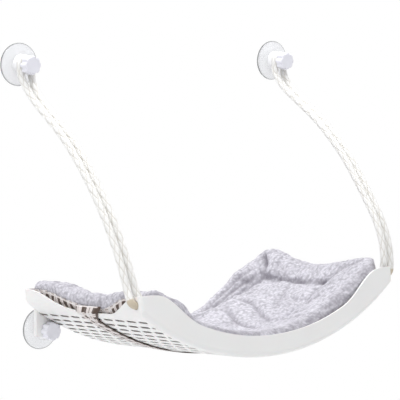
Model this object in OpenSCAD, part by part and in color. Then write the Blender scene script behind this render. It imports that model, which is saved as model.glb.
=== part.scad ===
// Window mounted cat perch: a curved, slotted plastic tray on two lower suction cups,
// held up at its front corners by two rope slings from two upper suction cups,
// with a loose plush cushion in it.
// Frame: the window pane is the plane Y = 0 and the room is on the -Y side. +X is to the right
// of a person in the room, +Z is up. The origin is midway between the two lower cups, on the pane.

/* [Tray] */
// Outside length of the tray along the window
tray_length = 552; // [480:1:560]
// Outside depth of the tray, from its front face to its rear face
tray_depth = 331; // [260:1:400]
// Outside radius of the curved floor
floor_radius = 440; // [400:1:600]
// Wall thickness of the moulding
tray_wall = 3.5; // [2.5:0.1:5]
// Height of the front and rear rims above the floor, at the middle of the tray
rim_height = 36; // [28:1:50]
// Height of the four corner horns above the floor where the end fillet begins
horn_rise = 46.4; // [34:0.1:60]
// Height of the end rims at mid depth above the floor where the end fillet begins
end_dip_rise = 14.4; // [10:0.1:26]
// Run of the rise from the low front rim to the horn, measured in from the end
horn_run = 126; // [90:1:160]
// Flat part of the horn's top, measured in from the end
horn_flat = 18; // [10:1:30]
// Run of the rise from the low end rim to the front horn, measured in from the front face
end_front_run = 103; // [70:1:120]
// Run of the gentler rise from the low end rim to the rear horn, measured in from the rear face
end_rear_run = 225; // [120:1:225]
// Flat part of the end rim's horns, measured in from the front or rear face
end_flat = 14; // [10:1:30]
// Radius between the floor and the end walls
end_fillet = 25; // [15:1:35]
// Radius along the bottom edge of the front wall
front_edge_radius = 10; // [5:1:16]
// Radius along the bottom edge of the rear wall
rear_edge_radius = 24; // [8:1:30]
// Radius of the upright corners in plan
corner_radius = 9; // [6:1:16]
// Tilt of the tray, its front edge higher than its rear edge
tray_tilt = 5.75; // [4:0.25:8]
// Distance of the tray's rear face from the window pane
tray_back = 17; // [16.5:0.5:23]
// Room between a lower knob and the underside of the tray
knob_room = 1.06; // [1:0.01:6]

/* [Slots in the floor] */
// Length of a floor slot
slot_length = 24; // [14:1:26]
// Width of a floor slot
slot_width = 7; // [4:0.5:9]
// Spacing of the slots along a row
slot_pitch = 31; // [29:1:45]
// Spacing of the rows around the floor
row_pitch = 18; // [15:1:26]
// Number of rows on each side of the middle row
side_rows = 15; // [6:1:15]
// Plain band between the slots and the front and rear faces
slot_margin = 15; // [13:1:40]

/* [Legs] */
// Width of a leg
leg_width = 48; // [40:1:60]
// Thickness of a leg at its rim and at its boss
leg_thickness = 9; // [6:0.5:12]
// Length of a leg below its cup's axis
leg_tail = 10; // [8:1:16]
// Radius of a leg's lower corners
leg_corner = 5; // [2:1:8]
// Radius of the boss round the stud hole
leg_boss = 9; // [8:0.5:9.5]

/* [Suction cups] */
// Radius of a suction cup
cup_radius = 36; // [30:1:42]
// How far beyond the tray's end the upper cup's axis lies
upper_cup_beyond = 6; // [5:1:14]
// Height of the upper cups above the lower cups
upper_cup_z = 452.6; // [452:0.1:453]
// Distance of a lower cup's axis in from the tray's end
lower_cup_inside = 39; // [31:1:46]
// Width of the flat lip that meets the pane
lip_width = 5; // [3:0.5:8]
// Thickness of the cup at its outer edge
lip_thickness = 1.5; // [1:0.1:3]
// Distance of the cup's seat for the cap from the pane
seat_height = 8; // [7:0.5:10]
// Outside radius of that seat
seat_radius = 18.5; // [17.5:0.5:22]
// Radius of the hub that holds the stud's head
hub_radius = 11; // [10:0.5:12]
// Distance of the hub's top from the pane
hub_height = 10.5; // [9.5:0.5:12]
// Depth of the hollow under the cup
recess_depth = 3.4; // [2:0.1:3.8]

/* [Caps, studs and knobs] */
// Radius of the cap's skirt, which presses on the cup
cap_radius = 17.5; // [16:0.5:18]
// Radius of the cap's flat top
cap_top_radius = 12; // [10:0.5:13]
// Distance of the cap's flat top from the pane
cap_height = 15.5; // [15:0.5:20]
// Wall thickness of the cap
cap_wall = 2; // [1.5:0.1:2.5]
// Radius of the stud's shaft
stud_radius = 4; // [3:0.5:5]
// Radius of the stud's head, moulded into the hub
stud_head_radius = 9; // [7:0.5:9]
// Thickness of the stud's head
stud_head_thickness = 3; // [2:0.5:3]
// Distance of the stud's free end from the pane
stud_end = 35; // [33:0.5:36]
// Radius of a knob over its lobes
knob_radius = 15.8; // [14:0.1:18]
// Depth of a knob along its axis
knob_depth = 16.4; // [15:0.1:20]
// Number of lobes on a knob
knob_lobes = 8; // [5:1:10]
// Radius of one lobe
lobe_radius = 4; // [3:0.1:5]
// Rounding of the knob's front edge
knob_rounding = 3; // [1:0.5:4]
// Advance of the stud for one turn of the knob
thread_pitch = 1.25; // [1:0.05:1.5]
// Turns by which a knob draws its stud outwards, past the state shown
tighten_turns = 2; // [1:1:2]

/* [Ropes] */
// Diameter of the rope
rope_diameter = 13; // [10:0.5:13]
// Distance of a rope hole's centre from the tray's front face
hole_margin = 14.5; // [13.5:0.5:25]
// Depth of a rope hole's centre below the top of the horn
hole_depth = 14; // [13:0.5:20]

/* [Cushion] */
// Distance of the cushion's edge from the tray's end walls
cushion_end_gap = 4; // [3:0.5:12]
// Distance of the cushion's edge from the tray's front and rear walls
cushion_side_gap = 2.5; // [2.5:0.5:12]
// Width of the padded border at the ends
border_end = 48; // [40:1:70]
// Width of the padded border at the front
border_front = 84; // [50:1:95]
// Width of the padded border at the rear
border_rear = 50; // [40:1:70]
// Height of the border's crown above the tray's floor
crown_height = 43; // [36:1:55]
// How much higher the crown stands at the corners
corner_lift = 16; // [4:1:22]
// Height of the sewn edge, where the plush meets the plaid, above the floor
edge_height = 15; // [13:1:24]
// How much lower the sewn edge dips at the ends, beside the low end rims
edge_dip = 9; // [0:0.5:9]
// How much higher the sewn edge stands at the corners
edge_lift = 13; // [0:0.5:13]
// How far the ropes dent the cushion's front corners inwards
rope_dent = 12; // [10:1:20]
// Height of the sewn channel between border and panel
channel_height = 17; // [12:0.5:22]
// Height of the middle panel's crown
panel_height = 28; // [20:1:34]
// Thickness of the plaid cloth under the cushion
plaid_thickness = 1.2; // [0.8:0.1:2]

/* [Hidden] */
$fn = 96;

// Overrun of every cut
cut = 1;
// Running clearance of a stud in its knob
running = 0.06;
// Clearance of a stud in its cup, and of a soft piece from its neighbour
moulded_gap = 0.1;
soft_gap = 0.3;
// Room past a stud's end in a lower knob's bore once it is drawn all the way out
bore_room = 0.5;
// Clearance of a stud in its cap and of a rope in its hole
cap_gap = 0.15;
hole_gap = 0.8;

half_length = tray_length / 2;
half_depth = tray_depth / 2;
// Half the distances between the two upper cups and between the two lower cups
upper_cup_x = half_length + upper_cup_beyond;
lower_cup_x = half_length - lower_cup_inside;
inner_radius = floor_radius - tray_wall;
// Centre of the fillet between the floor and an end wall, the same for both faces of the wall
fillet_x = half_length - end_fillet;
fillet_drop = sqrt(pow(floor_radius - end_fillet, 2) - pow(fillet_x, 2));
fillet_angle = asin(fillet_x / (floor_radius - end_fillet));
// Heights above the lowest point of the floor
end_floor = floor_radius - sqrt(pow(floor_radius, 2) - pow(fillet_x, 2));
horn_height = end_floor + horn_rise;
end_dip_height = end_floor + end_dip_rise;
hole_height = horn_height - hole_depth;
hole_reach = half_depth - hole_margin;
// Place of the floor's lowest centre point: its distance from the pane, and its depth below the
// lower cups' axes, at which the floor clears the lower knobs
tray_out = half_depth + tray_back;
tray_drop = (floor_radius - sqrt(pow(floor_radius, 2) - pow(lower_cup_x, 2))) * cos(tray_tilt)
    - half_depth * sin(tray_tilt) - knob_radius - knob_room;
rim_radius = floor_radius - rim_height;
slot_reach = half_depth - slot_margin;

leg_front = cap_height + leg_thickness;
upper_knob_back = cap_height + rope_diameter + 2 * soft_gap;
lower_knob_back = leg_front + moulded_gap;
bore_end = stud_end + thread_pitch * tighten_turns + bore_room - lower_knob_back;
stud_hole = stud_radius + cap_gap;
head_top = hub_height - cap_wall - cap_gap - moulded_gap;
head_bottom = head_top - stud_head_thickness;

rope_radius = rope_diameter / 2;
loop_radius = stud_radius + rope_radius + soft_gap;
loop_out = cap_height + rope_radius + soft_gap;
wall_gap = soft_gap + cap_gap;
turn_radius = tray_wall / 2 + rope_radius + wall_gap;
hole_radius = rope_radius + hole_gap;
rope_sides = 10;
loop_steps = 6;
turn_steps = 6;

cushion_x = half_length - tray_wall - cushion_end_gap;
cushion_y = half_depth - tray_wall - cushion_side_gap;
// How square the cushion's outline is at the front, where it clears the ropes, and at the rear
front_square_share = 12;
rear_square_share = 16;
// Share of a border over which its outer side climbs, and over which its underside rounds up
climb_share = 0.3;
tuck_share = max(climb_share, (rear_edge_radius - tray_wall) / border_rear);
// Shares of the cushion's half length and half depth where the corners begin to stand higher
rear_lift_share = 0.28;
front_lift_share = 0.55;
end_lift_share = 0.1;
// Share of the half depth where a rope's dent begins, and the share over which it deepens
dent_share = 0.66;
dent_run_share = 0.12;
// Share of the cells' spacing that crowds towards the cushion's edges
crowd_share = 0.35;
// How fast the panel rises from the sewn channel, and how sharply the horns sweep up
panel_swell_share = 3;
horn_sweep_share = 1.5;
rear_sweep_share = 2.5;
// Place of the sewn edge's dip on the half depth, and the shares over which it climbs from there
dip_share = 0.33;
front_climb_share = 0.5;
rear_climb_share = 1.1;
// Cells of the cushion's mesh along its length and depth
cells_x = 30;
cells_y = 18;

// Middle of the two strands of each sling on its way down, as distance from the pane and
// height above the lower cups. The right sling bows further into the room than the left one.
left_route = [
    [22.3, 438.5], [26, 427], [36, 412], [60, 391], [100, 365], [140, 337], [180, 301],
    [218, 260], [250, 219], [277, 177], [296, 141], [308, 114]
];
right_route = [
    [22.3, 438.5], [29, 423], [52, 401], [92, 377], [134, 352], [174, 322], [212, 288],
    [244, 252], [272, 218], [298, 183], [315, 148], [322, 117]
];
// Half the distance between the strands at those points
strand_gaps = [10.5, 9, 7.6, 6.9, 6.9, 6.9, 6.9, 6.9, 6.9, 6.9, 7.2, 7.8];

function mix(a, b, s) = a + (b - a) * s;
function clamp01(s) = min(1, max(0, s));
function smooth(s) = s * s * (3 - 2 * s);
function unit(v) = v / norm(v);
function flatten(lists) = [for (list = lists) for (item = list) item];
function drum(r, x) = floor_radius - sqrt(r * r - x * x);

// Places what is written in the tray's own frame: +Y to the window, +Z up from the floor's middle
module in_tray() {
    translate([0, -tray_out, -tray_drop]) rotate([-tray_tilt, 0, 0]) children();
}
function tray_to_world(p) = [
    p.x,
    -tray_out + p.y * cos(tray_tilt) + p.z * sin(tray_tilt),
    -tray_drop - p.y * sin(tray_tilt) + p.z * cos(tray_tilt)
];

// Places what is written along a cup's axis, with +Z pointing from the pane into the room
module at_cup(x, z) {
    translate([x, 0, z]) rotate([90, 0, 0]) children();
}

// Outline of the front rim at distance x from the middle: a concentric arc, then the horn
function front_rim(x) =
    let (s = clamp01((horn_run - half_length + x) / (horn_run - horn_flat)))
    mix(min(horn_height, drum(rim_radius, x)), horn_height, pow(smooth(s), horn_sweep_share));
// Height of the end rim at a distance inwards from the front or rear face
function end_rim(inwards, run, sweep) =
    let (s = clamp01((run - inwards) / (run - end_flat)))
    mix(end_dip_height, horn_height, pow(smooth(s), sweep));

// Cross-section of the tray's body: the floor's arc, a fillet and an upright wall at each end
module body_section(inset) {
    x = half_length - inset;
    r = floor_radius - inset;
    f = end_fillet - inset;
    reach = r + cut;
    difference() {
        intersection() {
            translate([0, floor_radius]) circle(r = r, $fn = 360);
            translate([-x, 0]) square([2 * x, floor_radius]);
        }
        for (side = [-1, 1]) {
            difference() {
                polygon([
                    [side * fillet_x, floor_radius - fillet_drop],
                    [side * reach * sin(fillet_angle), floor_radius - reach * cos(fillet_angle)],
                    [side * (x + cut), floor_radius - reach * cos(fillet_angle)],
                    [side * (x + cut), floor_radius - fillet_drop]
                ]);
                translate([side * fillet_x, floor_radius - fillet_drop]) circle(r = f);
            }
        }
    }
}

// Turned profile that rounds the bottom edges of the front and rear walls
module drum_profile(inset) {
    r = floor_radius - inset;
    y = half_depth - inset;
    front = front_edge_radius - inset;
    rear = rear_edge_radius - inset;
    difference() {
        translate([0, -y]) square([r, 2 * y]);
        translate([r - front, -y - cut]) square([front + cut, front + cut]);
        translate([r - rear, y - rear]) square([rear + cut, rear + cut]);
    }
    translate([r - front, front - y]) circle(r = front);
    translate([r - rear, y - rear]) circle(r = rear);
}

// Plan outline with round corners
module plan(inset) {
    x = half_length - inset;
    y = half_depth - inset;
    c = corner_radius - inset;
    translate([-x, c - y]) square([2 * x, 2 * (y - c)]);
    translate([c - x, -y]) square([2 * (x - c), 2 * y]);
    for (i = [-1, 1]) for (j = [-1, 1]) translate([i * (x - c), j * (y - c)]) circle(r = c);
}

// The tray's body with its walls set in by inset, open upwards
module tray_body(inset) {
    intersection() {
        rotate([90, 0, 0]) linear_extrude(tray_depth + 2 * cut, center = true) body_section(inset);
        translate([0, 0, floor_radius]) rotate([90, 0, 0]) mirror([0, 0, 1])
            rotate_extrude($fn = 360) drum_profile(inset);
        linear_extrude(floor_radius) plan(inset);
    }
}

// Everything below the front and rear rims
module front_rim_outline() {
    difference() {
        translate([-half_length - cut, -cut]) square([tray_length + 2 * cut, horn_height + cut]);
        translate([0, floor_radius]) circle(r = rim_radius, $fn = 360);
    }
    steps = 14;
    first = half_length - horn_run;
    for (side = [-1, 1]) {
        polygon(concat(
            [[side * first, -cut], [side * first, front_rim(first) - cut]],
            [for (k = [1 : steps]) let (x = first + horn_run * k / steps) [side * x, front_rim(x)]],
            [[side * (half_length + cut), horn_height], [side * (half_length + cut), -cut]]
        ));
    }
}

// Everything below the end rims, seen along the tray
module end_rim_outline() {
    steps = 16;
    translate([-half_depth - cut, -cut]) square([tray_depth + 2 * cut, end_dip_height + cut]);
    for (side = [-1, 1]) {
        run = side < 0 ? end_front_run : end_rear_run;
        sweep = side < 0 ? horn_sweep_share : rear_sweep_share;
        polygon(concat(
            [[side * (half_depth - run), 0]],
            [for (k = [0 : steps])
                let (inwards = run * (1 - k / steps))
                [side * (half_depth - inwards), end_rim(inwards, run, sweep)]],
            [[side * (half_depth + cut), horn_height], [side * (half_depth + cut), 0]]
        ));
    }
}

// One floor slot with round ends, from y0 to y1 along its row, cut through the floor
module slot(y0, y1) {
    r = slot_width / 2;
    linear_extrude(3 * tray_wall, center = true) {
        translate([-r, y0 + r]) square([slot_width, y1 - y0 - slot_width]);
        translate([0, y0 + r]) circle(r = r, $fn = 24);
        translate([0, y1 - r]) circle(r = r, $fn = 24);
    }
}

// Staggered rows of slots, each row along the depth of the tray
module floor_slots() {
    middle = floor_radius - tray_wall / 2;
    count = ceil(slot_reach / slot_pitch) + 1;
    for (row = [-side_rows : side_rows]) {
        shift = abs(row) % 2 == 0 ? 0 : slot_pitch / 2;
        translate([0, 0, floor_radius]) rotate([0, -row * row_pitch / middle * 180 / PI, 0])
            translate([0, 0, -middle]) for (k = [-count : count]) {
                y0 = max(-slot_reach, k * slot_pitch + shift - slot_length / 2);
                y1 = min(slot_reach, k * slot_pitch + shift + slot_length / 2);
                if (y1 - y0 > slot_width) slot(y0, y1);
            }
    }
}

// Front outline of a leg about its cup's axis, flared where it runs into the floor
module leg_outline(inset) {
    x = leg_width / 2 - inset;
    low = leg_tail - inset;
    c = max(leg_corner - inset, leg_corner / 4);
    translate([-x, c - low]) square([2 * x, end_dip_height - tray_drop + low - c]);
    translate([c - x, -low]) square([2 * (x - c), 2 * low]);
    for (side = [-1, 1]) translate([side * (x - c), c - low]) circle(r = c);
}

// A leg: a front plate and a rim, open towards the pane, with a boss that the cap seats on
module leg() {
    translate([0, 0, cap_height]) {
        difference() {
            linear_extrude(leg_thickness) leg_outline(0);
            translate([0, 0, -cut])
                linear_extrude(leg_thickness - tray_wall + cut) leg_outline(tray_wall);
        }
        cylinder(r = leg_boss, h = leg_thickness);
    }
}

module tray() {
    color([0.93, 0.93, 0.92]) difference() {
        union() {
            in_tray() intersection() {
                tray_body(0);
                rotate([90, 0, 0]) linear_extrude(tray_depth + 2 * cut, center = true)
                    front_rim_outline();
                rotate([90, 0, 90]) linear_extrude(tray_length + 2 * cut, center = true)
                    end_rim_outline();
            }
            for (side = [-1, 1]) at_cup(side * lower_cup_x, 0) leg();
        }
        in_tray() {
            tray_body(tray_wall);
            floor_slots();
            for (side = [-1, 1])
                translate([side * (half_length - tray_wall / 2), -hole_reach, hole_height])
                    rotate([0, 90, 0]) cylinder(r = hole_radius, h = 2 * tray_wall, center = true);
        }
        for (side = [-1, 1]) at_cup(side * lower_cup_x, 0)
            cylinder(r = stud_hole + cap_gap, h = leg_front + cut);
    }
}

// Suction cup: flat lip, shallow hollow, domed back, seat for the cap and hub round the stud's head
module suction_cup(x, z) {
    steps = 7;
    back = [
        for (k = [0 : steps]) [
            mix(cup_radius, seat_radius, k / steps),
            mix(lip_thickness, seat_height, sin(90 * k / steps))
        ]
    ];
    hollow = [
        for (k = [0 : steps]) [
            (cup_radius - lip_width) * k / steps,
            recess_depth * (1 - pow(k / steps, 3))
        ]
    ];
    color([0.9, 0.91, 0.94, 0.8]) at_cup(x, z) rotate_extrude() polygon(concat(
        hollow,
        [[cup_radius, 0]],
        back,
        [
            [hub_radius, seat_height],
            [hub_radius, hub_height],
            [stud_radius + moulded_gap, hub_height],
            [stud_radius + moulded_gap, head_top + moulded_gap],
            [stud_head_radius + moulded_gap, head_top + moulded_gap],
            [stud_head_radius + moulded_gap, head_bottom - moulded_gap],
            [0, head_bottom - moulded_gap]
        ]
    ));
}

// Cap: a round dome over the hub that presses on the cup's back
module cup_cap(x, z) {
    inner_top = cap_height - cap_wall;
    drop = cap_radius - cap_top_radius;
    color([0.97, 0.97, 0.97]) at_cup(x, z) difference() {
        rotate_extrude() {
            translate([0, seat_height]) square([cap_radius, cap_height - drop - seat_height]);
            translate([0, seat_height]) square([cap_top_radius, cap_height - seat_height]);
            intersection() {
                translate([cap_top_radius, cap_height - drop]) circle(r = drop);
                translate([0, seat_height]) square([cap_radius, cap_height]);
            }
        }
        translate([0, 0, seat_height - cut]) cylinder(r = hub_radius + cap_wall, h = inner_top - seat_height + cut);
        cylinder(r = stud_hole, h = cap_height + cut);
    }
}

// Stud: a shaft with a round head
module stud(x, z) {
    color([0.85, 0.85, 0.86]) at_cup(x, z) {
        translate([0, 0, head_bottom]) cylinder(r = stud_head_radius, h = stud_head_thickness);
        translate([0, 0, head_bottom]) cylinder(r = stud_radius, h = stud_end - head_bottom);
    }
}

// Knob: a lobed nut with a blind bore and a rounded front edge
module knob(x, z, back) {
    ring = knob_radius - lobe_radius;
    low = knob_depth - knob_rounding;
    color([0.88, 0.88, 0.92]) at_cup(x, z) translate([0, 0, back]) difference() {
        intersection() {
            linear_extrude(knob_depth) {
                circle(r = ring + lobe_radius / 3);
                for (k = [0 : knob_lobes - 1]) rotate(k * 360 / knob_lobes) translate([ring, 0])
                    circle(r = lobe_radius, $fn = 32);
            }
            rotate_extrude() {
                square([knob_radius, low]);
                square([knob_radius - knob_rounding, knob_depth]);
                translate([knob_radius - knob_rounding, low]) circle(r = knob_rounding);
            }
        }
        translate([0, 0, -cut]) cylinder(r = stud_radius + running, h = bore_end + cut);
    }
}

// Points of a ring of the rope at p, with its tangent t and side direction b
function rope_ring(p, t, b) =
    let (n = cross(b, t))
    [for (k = [0 : rope_sides - 1])
        let (a = 360 * k / rope_sides) p + rope_radius * (cos(a) * n + sin(a) * b)];

// Stations of one sling on its way down, each [middle of the strands, way down, half gap]
function sling_down(route) =
    let (
        e = tray_to_world([half_length - tray_wall / 2, -hole_reach, hole_height]),
        last = route[len(route) - 1],
        fall = unit([0, e.y + last[0], e.z - last[1]]),
        top = [upper_cup_x, -loop_out, upper_cup_z],
        turn = e - turn_radius * fall,
        spots = concat(
            [top],
            [for (k = [0 : len(route) - 1])
                [mix(top.x, turn.x, (k + 1) / (len(route) + 1)), -route[k][0], route[k][1]]],
            [turn]
        ),
        gaps = concat([loop_radius], strand_gaps, [turn_radius]),
        n = len(spots) - 1
    )
    [for (k = [0 : n])
        let (
            a = spots[max(0, k - 1)],
            b = spots[min(n, k + 1)],
            way = k == 0 ? [0, 0, -1] : k == n ? fall : unit([0, b.y - a.y, b.z - a.z])
        )
        [spots[k], way, gaps[k]]];

// Whole sling as an endless tube: over the stud, down the outer strand, through the hole
// in the end wall and up the inner strand. The outer strand is the one away from the tray.
module rope(side) {
    down = sling_down(side < 0 ? left_route : right_route);
    n = len(down) - 1;
    first = down[0];
    last = down[n];
    outer = [for (k = [0 : n]) let (s = down[k], b = cross([1, 0, 0], s[1]))
        rope_ring(s[0] + [s[2], 0, 0], s[1], b)];
    turn = [for (k = [1 : turn_steps - 1])
        let (a = 180 * k / turn_steps, b = cross([1, 0, 0], last[1]))
        rope_ring(
            last[0] + turn_radius * (cos(a) * [1, 0, 0] + sin(a) * last[1]),
            -sin(a) * [1, 0, 0] + cos(a) * last[1], b)];
    inner = [for (k = [n : -1 : 0]) let (s = down[k], b = cross([1, 0, 0], s[1]))
        rope_ring(s[0] - [s[2], 0, 0], -s[1], b)];
    loop = [for (k = [1 : loop_steps - 1])
        let (a = 180 * k / loop_steps, b = cross([1, 0, 0], first[1]))
        rope_ring(
            first[0] + loop_radius * (-cos(a) * [1, 0, 0] - sin(a) * first[1]),
            sin(a) * [1, 0, 0] - cos(a) * first[1], b)];
    rings = concat(outer, turn, inner, loop);
    m = len(rings);
    s = rope_sides;
    faces = flatten([for (i = [0 : m - 1]) flatten([for (k = [0 : s - 1])
        let (
            p = i * s + k,
            q = i * s + (k + 1) % s,
            u = ((i + 1) % m) * s + k,
            v = ((i + 1) % m) * s + (k + 1) % s
        )
        [[p, q, v], [p, v, u]]])]);
    color([0.96, 0.95, 0.93]) mirror([side < 0 ? 1 : 0, 0, 0])
        polyhedron(points = flatten(rings), faces = faces, convexity = 6);
}

// Shares of a border crossed inwards from the cushion's edge, 1 at the sewn channel
function border_share(s, t) = min(
    (1 - abs(s)) * cushion_x / border_end,
    t < 0 ? (1 + t) * cushion_y / border_front : (1 - t) * cushion_y / border_rear
);
// Height of the sewn edge above the floor: it dips at the ends and stands higher at the corners
function sewn_height(s, t) =
    let (
        end = smooth(clamp01((abs(s) - front_lift_share) / (1 - front_lift_share))),
        away = t < -dip_share ? -(t + dip_share) / front_climb_share : (t + dip_share) / rear_climb_share
    )
    edge_height + end * mix(-edge_dip, edge_lift, pow(smooth(clamp01(away)), horn_sweep_share));
// Height of the cushion's top above the floor at the shares s along and t across it
function top_height(s, t) =
    let (
        r = border_share(s, t),
        start = t < 0 ? front_lift_share : rear_lift_share,
        crown = crown_height + corner_lift * smooth(clamp01((abs(s) - start) / rear_lift_share))
            * smooth(clamp01((abs(t) - end_lift_share) / front_lift_share)),
        inwards = clamp01((r - climb_share) / (1 - climb_share))
    )
    r < climb_share ? mix(sewn_height(s, t), crown, sqrt(1 - pow(1 - r / climb_share, 2)))
    : r < 1 ? mix(crown, channel_height, smooth(inwards))
    : mix(channel_height, panel_height, 1 - exp(-panel_swell_share * (r - 1)));
// Height of its underside above the floor, which rounds up to the sewn edge
function low_height(s, t) =
    let (r = border_share(s, t))
    r < tuck_share ? sewn_height(s, t) * (1 - sqrt(1 - pow(1 - r / tuck_share, 2))) : 0;
// Plan place of the shares s, t on the outline of half sizes x and y with round corners
function plan_place(s, t, x, y) =
    let (
        m = max(abs(s), abs(t)),
        e = t < 0 ? front_square_share : rear_square_share,
        k = m == 0 ? 1 : pow(pow(abs(s) / m, e) + pow(abs(t) / m, e), -1 / e)
    )
    [s * (x - rope_dent * smooth(clamp01((-t - dent_share) / dent_run_share))) * mix(1, k, m * m),
        t * y * mix(1, k, m * m)];
// A point at height h square to the floor above the plan place p
function above_floor(p, h) =
    let (
        r = inner_radius - soft_gap,
        a = asin(p.x / r),
        steep = smooth(clamp01((abs(p.x) - cushion_x + border_end) / border_end)),
        lean = mix(a, 0, steep)
    )
    [p.x - h * sin(lean), p.y, floor_radius - r * cos(a) + h * cos(lean)];

// Even share q moved towards the edges
function crowded(q) = mix(q, sin(90 * q), crowd_share);

// Grid of points of one skin of the cushion, set in by inset, with top true for the upper skin
function skin(inset, lift, top) = flatten([
    for (i = [0 : cells_x]) [for (j = [0 : cells_y])
        let (
            s = crowded(2 * i / cells_x - 1),
            t = crowded(2 * j / cells_y - 1),
            p = plan_place(s, t, cushion_x - inset, cushion_y - inset),
            edge = i == 0 || j == 0 || i == cells_x || j == cells_y
        )
        above_floor(p, edge ? sewn_height(s, t)
            : top ? max(top_height(s, t), low_height(s, t) + 2 * lift) : low_height(s, t) + lift)]
]);
function grid_faces(start, up) = flatten([
    for (i = [0 : cells_x - 1]) flatten([for (j = [0 : cells_y - 1])
        let (
            w = cells_y + 1,
            a = start + i * w + j,
            b = a + 1,
            c = a + w,
            d = c + 1
        )
        up ? [[a, b, d], [a, d, c]] : [[a, d, b], [a, c, d]]])
]);

// A closed piece between a lower and an upper skin, joined round their edges
module between_skins(lower, upper) {
    w = cells_y + 1;
    count = (cells_x + 1) * w;
    border = concat(
        [for (j = [0 : cells_y - 1]) j],
        [for (i = [0 : cells_x - 1]) i * w + cells_y],
        [for (j = [cells_y : -1 : 1]) cells_x * w + j],
        [for (i = [cells_x : -1 : 1]) i * w]
    );
    n = len(border);
    rim = flatten([for (k = [0 : n - 1])
        let (a = border[k], b = border[(k + 1) % n])
        [[a, b, b + count], [a, b + count, a + count]]]);
    in_tray() polyhedron(
        points = concat(lower, upper),
        faces = concat(grid_faces(0, false), grid_faces(count, true), rim),
        convexity = 6
    );
}

// The plush pad: padded border with a crown, drawn-in sides, a sewn channel and a middle panel
module cushion() {
    inset = plaid_thickness + soft_gap;
    color([0.77, 0.76, 0.8]) between_skins(
        skin(inset, inset, false),
        [for (p = skin(inset, inset, true)) p + [0, 0, plaid_thickness]]
    );
}

// The plaid cloth under the pad, which wraps its sides up to the sewn edge
module cushion_plaid_underside() {
    color([0.62, 0.5, 0.44]) between_skins(
        skin(0, 0, false),
        skin(plaid_thickness, plaid_thickness, false)
    );
}

tray();
cushion();
cushion_plaid_underside();
rope(-1);  // rope_left
rope(1);  // rope_right
suction_cup(-upper_cup_x, upper_cup_z);  // suction_cup_upper_left
suction_cup(upper_cup_x, upper_cup_z);  // suction_cup_upper_right
suction_cup(-lower_cup_x, 0);  // suction_cup_lower_left
suction_cup(lower_cup_x, 0);  // suction_cup_lower_right
cup_cap(-upper_cup_x, upper_cup_z);  // cup_cap_upper_left
cup_cap(upper_cup_x, upper_cup_z);  // cup_cap_upper_right
cup_cap(-lower_cup_x, 0);  // cup_cap_lower_left
cup_cap(lower_cup_x, 0);  // cup_cap_lower_right
stud(-upper_cup_x, upper_cup_z);  // stud_upper_left
stud(upper_cup_x, upper_cup_z);  // stud_upper_right
stud(-lower_cup_x, 0);  // stud_lower_left
stud(lower_cup_x, 0);  // stud_lower_right
knob(-upper_cup_x, upper_cup_z, upper_knob_back);  // knob_upper_left
knob(upper_cup_x, upper_cup_z, upper_knob_back);  // knob_upper_right
knob(-lower_cup_x, 0, lower_knob_back);  // knob_lower_left
knob(lower_cup_x, 0, lower_knob_back);  // knob_lower_right
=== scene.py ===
"""Looks of the window mounted cat perch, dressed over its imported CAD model.

Everything is in metres in the CAD's own frame: the window pane is Y = 0, the room is on the
-Y side, +X is to the right of a person in the room and +Z is up. The classes of pieces hold
their sizes in millimetres.
"""

from __future__ import annotations

import logging
import math
from collections.abc import Iterable, Iterator
from contextlib import contextmanager
from dataclasses import dataclass
from enum import Enum

import bmesh
import bpy
import numpy as np
from mathutils import Matrix, Vector

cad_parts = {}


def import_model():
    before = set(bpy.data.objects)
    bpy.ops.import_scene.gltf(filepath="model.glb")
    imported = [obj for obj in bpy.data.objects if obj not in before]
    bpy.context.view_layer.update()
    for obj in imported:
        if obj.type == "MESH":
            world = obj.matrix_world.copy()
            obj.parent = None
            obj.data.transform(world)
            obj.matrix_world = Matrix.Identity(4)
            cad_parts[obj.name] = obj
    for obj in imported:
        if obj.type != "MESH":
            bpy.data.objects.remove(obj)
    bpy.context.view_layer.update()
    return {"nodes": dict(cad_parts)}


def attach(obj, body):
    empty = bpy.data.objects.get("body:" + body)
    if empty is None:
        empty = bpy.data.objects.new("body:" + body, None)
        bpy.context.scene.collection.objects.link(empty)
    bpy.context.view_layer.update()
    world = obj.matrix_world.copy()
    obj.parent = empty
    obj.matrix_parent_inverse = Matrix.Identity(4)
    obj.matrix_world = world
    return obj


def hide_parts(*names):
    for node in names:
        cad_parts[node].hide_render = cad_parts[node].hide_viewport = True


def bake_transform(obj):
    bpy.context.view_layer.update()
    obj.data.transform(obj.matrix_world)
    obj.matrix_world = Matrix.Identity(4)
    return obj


log = logging.getLogger("perch")

MM = 0.001
FLOAT, VECTOR = "NodeSocketFloat", "NodeSocketVector"

Colour = tuple[float, float, float]
Place = tuple[float, float, float]
Socket = bpy.types.NodeSocket
Value = Socket | float | tuple | None


class Side(Enum):
    """The two ends of the tray, as seen by a person in the room."""

    LEFT = -1
    RIGHT = 1


class Corner(Enum):
    """The four suction mounts."""

    UPPER_LEFT = "upper_left"
    UPPER_RIGHT = "upper_right"
    LOWER_LEFT = "lower_left"
    LOWER_RIGHT = "lower_right"


# Node trees


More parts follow.
